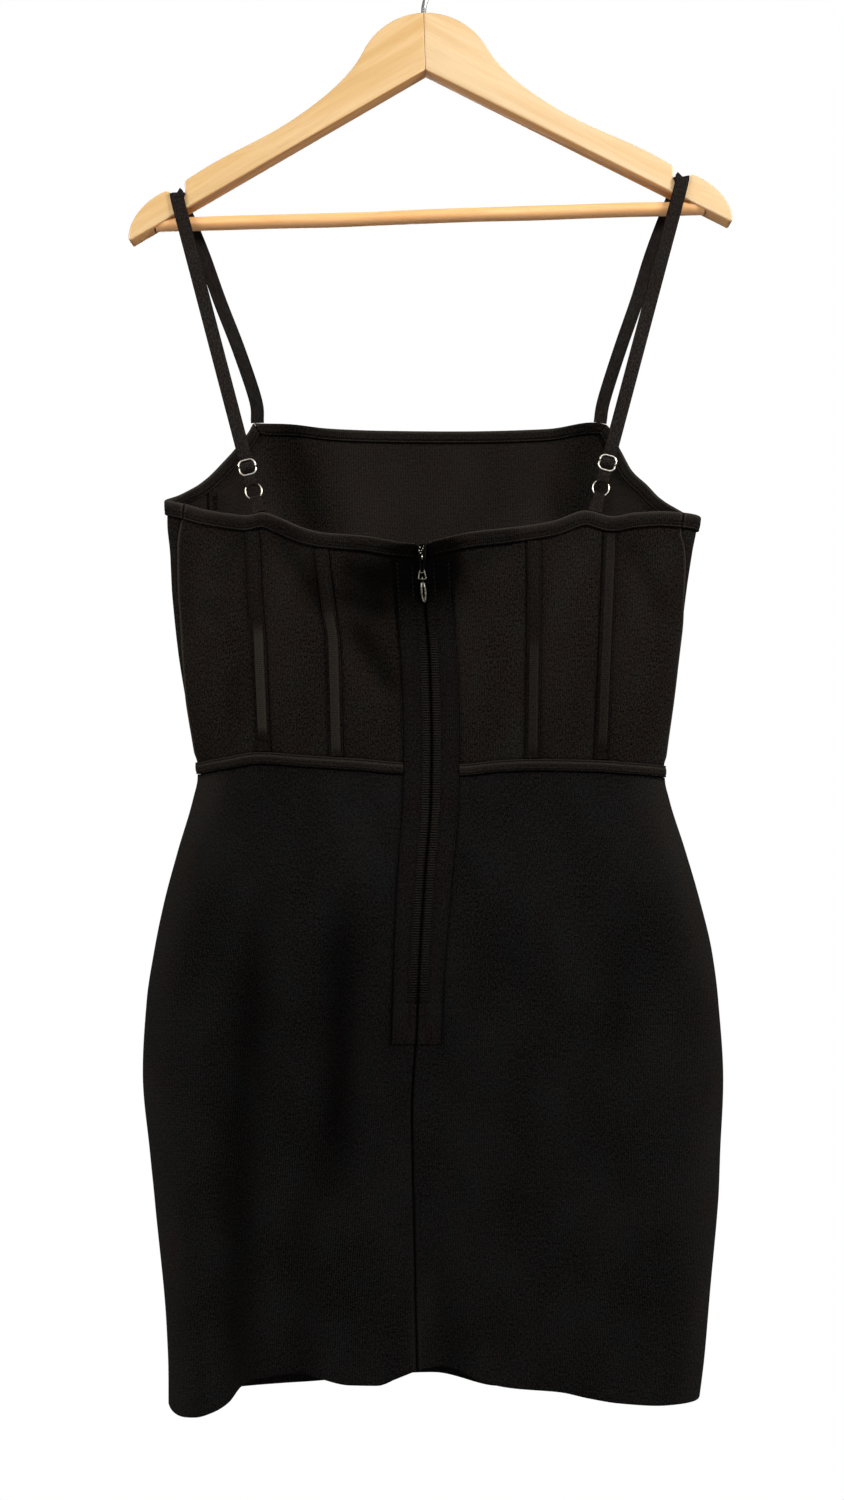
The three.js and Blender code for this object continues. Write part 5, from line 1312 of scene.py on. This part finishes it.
def rounded_outline(width, height, radius):
    """Points round a rectangle with round corners."""
    steps = 6
    points = []
    for corner, (sx, sy) in enumerate(((1, 1), (-1, 1), (-1, -1), (1, -1))):
        for step in range(steps + 1):
            angle = math.pi / 2 * (corner + step / steps)
            x = sx * (width / 2 - radius) + radius * math.cos(angle)
            points.append((x, sy * (height / 2 - radius) + radius * math.sin(angle)))
    return points


for side, (origin, up, wide, behind) in hardware_frames.items():
    turns = np.linspace(0, TURN, 49)[:-1, None]
    ring = origin + up * (RING_UP[side] + RING_RADIUS * np.sin(turns)) + wide * RING_RADIUS * np.cos(turns)
    node = "strap_ring_" + side
    mesh_piece(node + "_wire", *tube(ring, RING_WIRE, WIRE_SIDES, True), silver, "silver", [node])
    half = ADJUSTER_WIDTH / 2 - ADJUSTER_WIRE
    tall = ADJUSTER_HEIGHT / 2 - ADJUSTER_WIRE
    outline = np.array(rounded_outline(2 * half, 2 * tall, ADJUSTER_ROUND))
    straight = np.linspace(1, -1, 9)[1:-1, None] * (tall - ADJUSTER_ROUND)
    down_left = np.hstack([0 * straight - half, straight])
    up_right = np.hstack([0 * straight + half, -straight])
    corners = len(outline) // 2
    x, y = np.concatenate([outline[:corners], down_left, outline[corners:], up_right]).T
    pinches = near_line(y - 0.6 * np.sign(-x), 1.1) * (np.abs(x) > half - 1)
    rim = origin + wide * (x * (1 - 0.07 * pinches))[:, None] + up * (ADJUSTER_UP[side] + y)[:, None]
    bar = [origin + wide * x + up * ADJUSTER_UP[side] for x in np.linspace(-half + 0.5, half - 0.5, 6)]
    bar = tube(bar, ADJUSTER_BAR, 10)
    node = "strap_adjuster_" + side
    points, faces = joined([tube(rim, ADJUSTER_WIRE, WIRE_SIDES, True), bar])
    # The pinches also carry the adjuster's painted shade.
    pinches = np.concatenate([np.repeat(pinches, WIRE_SIDES), np.full(len(bar[0]), 0.5)])
    mesh_piece(node + "_casting", points, faces, silver, "silver", [node], painted_light_and_wear=-pinches)

# Zip slider: a cast body with rounded shoulders, astride the two tapes at the neck, and a small bail that the
# pull hangs from. Its dark plating is worn a little bright on its corners, and its knobs and its bail are
# painted bright as painted glints.
SLIDER = {"width": 6, "height": 12.5, "thick": 2.4, "z": -463.5, "lift": LAY_GAP + TRIM + 0.5}
BAIL = {"stand": 1.6, "down": 4, "radius": 1.35, "wire": 0.42}
# Knobs on the slider's face, painted bright as painted glints: across, up and radius
SLIDER_BEADS = [
    (-1.6, 3.6, 0.42),
    (0.5, 2.7, 0.4),
    (-2.2, 1.2, 0.42),
    (-0.5, 1.3, 0.36),
    (-1.2, -0.6, 0.4),
    (1.1, 4.5, 0.34),
]
# How bare of its dark plating each part is; the bail's and the knobs' figures are mostly painted glints
BODY_BARE = 0.02
BAIL_BARE_AND_GLINT = 0.7
BEADS_GLINT = 0.85
gunmetal = Finish("dark_plating", Metallic=1)
place = gunmetal.node("ShaderNodeTexCoord", {}, {}, "Object")
painted_light_and_worn_edges = gunmetal.node("ShaderNodeNewGeometry", {}, {}, "Pointiness").step(0.53, 0.62)
specks = gunmetal.noise(place, 1000, 1).step(0.45, 0.62)
bare_and_glint = gunmetal.node("ShaderNodeAttribute", {"attribute_name": "painted_light_and_wear"}, {}, 2)
# Worn plating and painted glints brighten the dark plating together.
scuffs_and_glints = bare_and_glint * (specks * 0.5 + 0.75) + painted_light_and_worn_edges * 0.03
gunmetal.shade(
    Base_Color=gunmetal.mix(scuffs_and_glints.step(0, 1), srgb(5, 5, 5), srgb(236, 228, 206)),
    Roughness=0.48 - scuffs_and_glints.step(0, 1) * 0.18,
)
gunmetal = gunmetal.material

slider_angle = float(SEAMS["centre"](SLIDER["z"]))
slider_top, slider_foot = (cover(slider_angle, SLIDER["z"] + up, 0) for up in (6, -6))
slider_place = skin(slider_angle, SLIDER["z"])
upright = np.array([0, 1, 1])
slider_up = unit((slider_top - slider_foot) * upright)
right = np.array([1.0, 0, 0])
slider_in = np.cross(slider_up, right)


def slider_point(x, out, up):
    return slider_place + right * x - slider_in * out + slider_up * up


def ball(centre, radius, subdivisions):
    """Points and faces of a ball."""
    body = bmesh.new()
    bmesh.ops.create_icosphere(body, subdivisions=subdivisions, radius=radius)
    points = [centre + np.array(v.co) for v in body.verts]
    faces = [tuple(v.index for v in f.verts) for f in body.faces]
    body.free()
    return points, faces


def rounded_plate(outline, thickness, edge):
    """Points and faces of a plate whose outline is x and z, its thickness along y centred on 0 and
    its rims rounded."""
    body = bmesh.new()
    rim = [body.verts.new((x, -thickness / 2, z)) for x, z in outline]
    face = body.faces.new(rim)
    raised = bmesh.ops.extrude_face_region(body, geom=[face])["geom"]
    raised = [v for v in raised if isinstance(v, bmesh.types.BMVert)]
    bmesh.ops.translate(body, vec=(0, thickness, 0), verts=raised)
    flat = [f for f in body.faces if abs(f.normal.y) > 0.9 or len(f.verts) > 4]
    rims = {e for f in flat for e in f.edges}
    bmesh.ops.bevel(body, geom=list(rims), offset=edge, segments=3, profile=0.5, affect="EDGES")
    body.verts.index_update()
    made = [tuple(v.co) for v in body.verts], [tuple(v.index for v in f.verts) for f in body.faces]
    body.free()
    return made


body_outline = [
    (x * (1 - 0.18 * smoothstep(-z, 0, 6.2)) * (1 - 0.12 * smoothstep(z, 3, 6.2)), z)
    for x, z in rounded_outline(SLIDER["width"], SLIDER["height"], 1.9)
]
points, faces = rounded_plate(body_outline, SLIDER["thick"], 0.55)
middle_out = SLIDER["lift"] + SLIDER["thick"] / 2
body_points = [slider_point(x, middle_out - y, z) for x, y, z in points]
hinge_out = SLIDER["lift"] + SLIDER["thick"] + BAIL["stand"]
bail = []
for degrees in range(-100, 101, 20):
    angle = math.radians(degrees)
    out = hinge_out + BAIL["radius"] * math.cos(angle)
    bail.append(slider_point(0, out, -BAIL["down"] + BAIL["radius"] * math.sin(angle)))
bail_foot, bail_top = (slider_point(0, middle_out, -BAIL["down"] + up) for up in (-1.5, 1.5))
bail = tube(finer([bail_foot, *bail, bail_top], 3), BAIL["wire"], 10)
beads_out = SLIDER["lift"] + SLIDER["thick"] - 0.1
beads = [ball(slider_point(x, beads_out, up), radius, 2) for x, up, radius in SLIDER_BEADS]
points, faces = joined([(body_points, faces), bail, *beads])
bare_and_glint = np.repeat([BODY_BARE, BAIL_BARE_AND_GLINT], [len(body_points), len(bail[0])])
bare_and_glint = np.pad(bare_and_glint, (0, len(points) - len(bare_and_glint)), constant_values=BEADS_GLINT)
mesh_piece("zip_slider_casting", points, faces, gunmetal, "gunmetal", ["zip_slider"], painted_light_and_wear=bare_and_glint)

# Zip pull: a wire link on the slider's bail, narrow at its neck and flared round a crossbar, and a
# long closed hairpin hung from its foot. It swings from the bail and rests against the plackets.
PULL_LENGTH = 32.8
PULL_CLEAR = 0.7
PULL_HALF = 1.1
# Half widths and heights down the right side of the link's wire, and of the hairpin's
LINK_SIDE = [
    (0, 0.6), (0.9, 0.5), (1.45, -0.3), (1.3, -3), (1.15, -8), (1.5, -9.8), (2.15, -12.4),
    (2.6, -15), (2.45, -15.7), (1.6, -15.95), (0, -15.9),
]
DROP_SIDE = [
    (0, -18.7), (0.75, -19), (1.0, -20.5), (1.35, -24), (1.25, -28), (0.85, -31), (0.5, -32),
    (0, -32.2),
]
LINK_WIRE = 0.4
CROSSBAR_Z = -11.3
CROSSBAR_WIRE = 0.36
EYE_Z = -15.9
EYE_WIRE = 0.5
DROP_WIRE = 0.62
DROP_LEAN = math.tan(math.radians(5))
LEAN_FROM = -14
# How bare of its dark plating the pull is, with painted highlights on its bright upper parts, by how far down
PULL_BARE_AND_GLINT = smooth_line([
    (0, 0), (9, 0.02), (10, 0.2), (15, 0.26), (16.5, 0.2), (17.4, 0.02), (18.2, 0.05),
    (19.2, 0.34), (23, 0.2), (32, 0.17),
])
hinge = slider_point(0, hinge_out, -BAIL["down"])
pull_end = cover(slider_angle, hinge[2] - PULL_LENGTH, LAY_GAP + TRIM + PULL_CLEAR + PULL_HALF)
pull_up = unit((hinge - pull_end) * upright)
pull_in = np.cross(pull_up, right)


def pull_point(x, y, z):
    lean = DROP_LEAN * max(LEAN_FROM - z, 0)
    return hinge + right * (x + lean) + pull_in * y + pull_up * z


def wire_round(side):
    """A closed wire from its right side, top to bottom, and the mirror image of it."""
    rows = finer(side, 4)
    mirrored = [(-x, z) for x, z in rows[-2:0:-1]]
    return [pull_point(x, 0, z) for x, z in [*rows, *mirrored]]


crossbar = [pull_point(x, 0, CROSSBAR_Z) for x in (-1.9, -1, 0, 1, 1.9)]
turns = np.linspace(0, TURN, 25)[:-1]
eye = [pull_point(0, 1.25 * math.sin(turn), EYE_Z + 1.3 * math.cos(turn)) for turn in turns]
neck = [pull_point(0, 0, z) for z in (-17.1, -18, -19)]
points, faces = joined([
    tube(wire_round(LINK_SIDE), LINK_WIRE, 10, True),
    tube(crossbar, CROSSBAR_WIRE, 10),
    tube(eye, EYE_WIRE, 10, True),
    tube(neck, [0.6, 0.5, 0.6], 10),
    tube(wire_round(DROP_SIDE), DROP_WIRE, 12, True),
])
bare_and_glint = PULL_BARE_AND_GLINT((np.array(points) - hinge) @ -pull_up)
name = "zip_pull_link_and_drop"
mesh_piece(name, points, faces, gunmetal, "gunmetal", ["zip_pull"], painted_light_and_wear=bare_and_glint, body="zip_pull")

# Hanger: two arms of pale varnished wood, rounded on their rims and glued at the middle, with a
# notch near each tip. A redder dowel bar joins them, and a plated wire hook stands in the hump.
HUMP_TOP = -61.5
HUMP_RADIUS = 52
CROTCH = -103.4
ARM_SLOPE = 0.5395
BAR_W = -209.5
BAR_RADIUS = 5
BAR_END = 203
HOOK_RADIUS = 21
HOOK_WIRE = 1.9
HOOK_FOOT = -76
GLUE_GAP = 0.04
BORE_FROM = 150


def wood_finish(name, browns, lean, underside_shade):
    """Varnished wood whose grain leans from the level, with painted shade that makes faces looking down
    browner.
    """
    pale, warm, streak = (srgb(*brown) for brown in browns)
    finish = Finish(name, Coat_Roughness=0.2, Coat_Weight=0.25, Specular_IOR_Level=0.4)
    place = finish.node("ShaderNodeTexCoord", {}, {}, "Object")
    turned = finish.node("ShaderNodeMapping", {}, {"Vector": place, "Rotation": (0, lean, 0)})
    drift = finish.noise(finish.scaled(turned, (9, 40, 40)), 1, 2)
    aside = {0: (0, 1, 1), "Scale": drift * 0.012}
    wander = finish.node("ShaderNodeVectorMath", {"operation": "SCALE"}, aside)
    bent = finish.node("ShaderNodeVectorMath", {"operation": "ADD"}, {0: turned, 1: wander})
    rings = finish.noise(finish.scaled(bent, (5, 150, 150)), 1, 3, 0.6)
    fibre = finish.noise(finish.scaled(bent, (28, 1300, 1300)), 1, 3, 0.6)
    base = finish.mix(rings.step(0.3, 0.7), pale, warm)
    base = finish.mix(fibre.step(0.56, 0.78) * 0.4, base, streak)
    normal = finish.node("ShaderNodeNewGeometry", {}, {}, "Normal")
    down = finish.parts(normal)[2]
    # Painted shade: faces that look down are mixed towards the underside's shade brown.
    base = finish.mix((0 - down).step(0.25, 0.85) * 0.85, base, srgb(*underside_shade))
    finish.shade(Base_Color=base, Roughness=rings * 0.12 + 0.36)
    finish.bump(fibre + rings * 0.5, 0.18, 0.0002)
    return finish.material


def bezier(start, a, b, end, steps):
    t = np.linspace(0, 1, steps + 1)[1:, None]
    start, a, b, end = (np.array(p, float) for p in (start, a, b, end))
    return list(start * (1 - t) ** 3 + 3 * a * t * (1 - t) ** 2 + 3 * b * t**2 * (1 - t) + end * t**3)


def arm_outline():
    """The right arm from the top of its hump to the tip and back along its underside."""
    hump_angle = math.radians(27.6)
    centre = HUMP_TOP - HUMP_RADIUS
    first = math.pi / 2 - GLUE_GAP / 2 / HUMP_RADIUS
    points = []
    for angle in np.linspace(first, hump_angle, 22):
        points.append((HUMP_RADIUS * math.cos(angle), centre + HUMP_RADIUS * math.sin(angle)))
    bends = [
        ((56.2, -109), (86, -130.7), (112.5, -145)),
        ((125, -151.5), (138, -157.2), (150, -163)),
        ((160, -168), (169, -173), (177.5, -178.4)),
        ((179.6, -179.6), (180.4, -181), (180.1, -183.5)),
    ]
    for bend in bends:
        points += bezier(points[-1], *bend, 10)
    points.append((NOTCH_U - NOTCH_WIDTH / 2, NOTCH_FLOOR))
    points.append((NOTCH_U + NOTCH_WIDTH / 2, NOTCH_FLOOR))
    points += bezier(points[-1], (190.6, -188.2), (192, -186.8), (195, -187.2), 5)
    points += bezier(points[-1], (212, -194), (222.5, -209), (222.9, -220.2), 14)
    points += bezier(points[-1], (223, -222.4), (221.4, -223.6), (219.4, CROTCH - ARM_SLOPE * 219.4), 4)
    points.append((GLUE_GAP / 2, CROTCH - ARM_SLOPE * GLUE_GAP / 2))
    return [(float(x), float(z)) for x, z in points]


arm_lean = math.atan(ARM_SLOPE)
# Each arm's lean and its pale, warm and streaked browns. The right arm's are painted paler than the left's:
# painted light on the same wood.
ARM_WOODS = [
    ("left", -1, arm_lean, (216, 181, 130), (204, 163, 106), (178, 134, 82)),
    ("right", 1, -arm_lean, (222, 191, 147), (212, 175, 126), (186, 144, 94)),
]
# Painted shade brown of the arms' undersides
ARM_UNDERSIDE_SHADE = (190, 133, 74)
bore = tube([(BORE_FROM, 0, BAR_W), (BAR_END + 1.5, 0, BAR_W)], BAR_RADIUS + SEAM_GAP, 40)
socket = tube([(0, 0, HOOK_FOOT - 1), (0, 0, -50)], HOOK_WIRE + SEAM_GAP, 24)


def plain_object(name, points, faces):
    mesh = bpy.data.meshes.new(name)
    mesh.from_pydata([tuple(p) for p in points], [], faces)
    body = bmesh.new()
    body.from_mesh(mesh)
    bmesh.ops.recalc_face_normals(body, faces=body.faces)
    body.to_mesh(mesh)
    body.free()
    made = bpy.data.objects.new(name, mesh)
    bpy.context.scene.collection.objects.link(made)
    return made


def drilled(points, faces, cutters):
    """The same body with round bores cut out of it."""
    body = plain_object("blank", points, faces)
    drills = [plain_object("drill", *cutter) for cutter in cutters]
    for drill in drills:
        cut = body.modifiers.new("bore", "BOOLEAN")
        cut.object = drill
        cut.solver = "EXACT"
    done = bpy.data.meshes.new_from_object(body.evaluated_get(bpy.context.evaluated_depsgraph_get()))
    made = [tuple(v.co) for v in done.vertices], [tuple(f.vertices) for f in done.polygons]
    for used in [body, *drills]:
        bpy.data.objects.remove(used)
    return made


points, faces = rounded_plate(arm_outline(), HANGER_THICKNESS, HANGER_EDGE)
arm = drilled(points, faces, [bore, socket])
for side, sign, lean, *browns in ARM_WOODS:
    placed = [from_hanger(sign * x, y, z) for x, y, z in arm[0]]
    node = "hanger_arm_" + side
    wood = wood_finish("arm_wood_" + side, browns, lean + HANGER_TILT, ARM_UNDERSIDE_SHADE)
    mesh_piece(node + "_wood", placed, arm[1], wood, "wood", [node])

BAR_WOODS = [(247, 193, 132), (236, 174, 110), (186, 124, 68)]
# Painted shade brown of the bar's underside
BAR_UNDERSIDE_SHADE = (222, 160, 103)
bar_wood = wood_finish("bar_wood", BAR_WOODS, HANGER_TILT, BAR_UNDERSIDE_SHADE)
bar_u = np.linspace(-BAR_END, BAR_END, 120)
bar_sway = 0.35 * np.sin(bar_u / 61) + 0.2 * np.sin(bar_u / 23 + 1)
bar_path = from_hanger(bar_u, 0, BAR_W + bar_sway * smoothstep(BAR_END - np.abs(bar_u), 20, 60))
bar_girth = BAR_RADIUS - 0.12 * (1 + np.sin(bar_u / 17) * np.sin(bar_u / 41))
mesh_piece("hanger_bar_dowel", *tube(bar_path, bar_girth, 32), bar_wood, "bar_wood", ["hanger_bar"])

steel = Finish("hook_plating", Metallic=1)
place = steel.node("ShaderNodeTexCoord", {}, {}, "Object")
drawn = steel.noise(steel.scaled(place, (300, 300, 900)), 1, 3)
plating = steel.mix(drawn, srgb(200, 200, 198), srgb(222, 221, 216))
steel.shade(Base_Color=plating, Roughness=drawn * 0.15 + 0.14)
hook_centre = HOOK_WIRE - HOOK_RADIUS
hook = [(0, HOOK_FOOT), (0, -64), (0.4, -54), (3.6, -45.5)]
for degrees in range(-60, 201, 20):
    angle = math.radians(degrees)
    hook.append((HOOK_RADIUS * math.cos(angle), hook_centre + HOOK_RADIUS * math.sin(angle)))
hook_path = finer(hook, 6)
hook_path = from_hanger(hook_path[:, 0], 0 * hook_path[:, 0], hook_path[:, 1])
hook_girth = np.full(len(hook_path), HOOK_WIRE)
hook_girth[-4:] = HOOK_WIRE * np.array([0.99, 0.93, 0.8, 0.5])
hook_points, hook_faces = tube(hook_path, hook_girth, 16)
mesh_piece("hanger_hook_wire", hook_points, hook_faces, steel.material, "hook_steel", ["hanger_hook"])

# Stage: a plain pale floor at the height a rail would leave under the dress, a white backdrop all
# round that lights nothing, dim even surroundings, and large soft lights. The two main ones stand to
# the right and left of the dress's back, so that its creases, its seams and its sides show.
FLOOR_Z = -1.75
FLOOR_HALF = 0.85
BACKDROP_RADIUS = 6


def stage_piece(name, points, faces, finish):
    mesh = bpy.data.meshes.new(name)
    mesh.from_pydata([tuple(p) for p in points], [], faces)
    mesh.materials.append(finish.material)
    piece = bpy.data.objects.new(name, mesh)
    bpy.context.scene.collection.objects.link(piece)
    return piece


floor_finish = Finish("pale_floor", Roughness=0.7)
place = floor_finish.node("ShaderNodeTexCoord", {}, {}, "Object")
cloudy = floor_finish.noise(place, 6, 2)
floor_finish.shade(Base_Color=floor_finish.mix(cloudy, srgb(232, 231, 229), srgb(238, 237, 235)))
corners = [(x * FLOOR_HALF, y * FLOOR_HALF, FLOOR_Z) for x, y in ((-1, -1), (1, -1), (1, 1), (-1, 1))]
stage_piece("floor", corners, [(0, 1, 2, 3)], floor_finish)

backdrop_finish = Finish("white_backdrop", Base_Color=(0, 0, 0, 1), Specular_IOR_Level=0, Emission_Strength=1)
backdrop_finish.shade(Emission_Color=(1, 1, 1, 1))
backdrop = stage_piece("backdrop", *ball(np.zeros(3), BACKDROP_RADIUS, 4), backdrop_finish)
backdrop.visible_diffuse = False
backdrop.visible_glossy = False
backdrop.visible_transmission = False
backdrop.visible_shadow = False

world = bpy.data.worlds.new("surroundings")
world.use_nodes = True
world.node_tree.nodes["Background"].inputs["Color"].default_value = (1, 1, 1, 1)
world.node_tree.nodes["Background"].inputs["Strength"].default_value = 0.2
bpy.context.scene.world = world
bpy.context.scene.view_settings.view_transform = "Standard"

# Each light's place, what it points at, its width and its watts
LIGHTS = [
    ("right_light", (1.9, -1.0, 0.5), (0, 0, -0.5), 0.8, 66),
    ("left_light", (-1.9, -1.0, 0.3), (0, 0, -0.6), 0.9, 46),
    ("near_light", (0.3, -2.4, 0.6), (0, 0, -0.4), 1.2, 14),
    ("far_light", (-0.5, 1.9, 0.4), (0, 0, -0.6), 1.2, 30),
]
for name, location, target, size, watts in LIGHTS:
    lamp = bpy.data.lights.new(name, "AREA")
    lamp.size = size
    lamp.energy = watts
    light = bpy.data.objects.new(name, lamp)
    light.location = location
    light.rotation_euler = (Vector(target) - Vector(location)).to_track_quat("-Z", "Y").to_euler()
    bpy.context.scene.collection.objects.link(light)
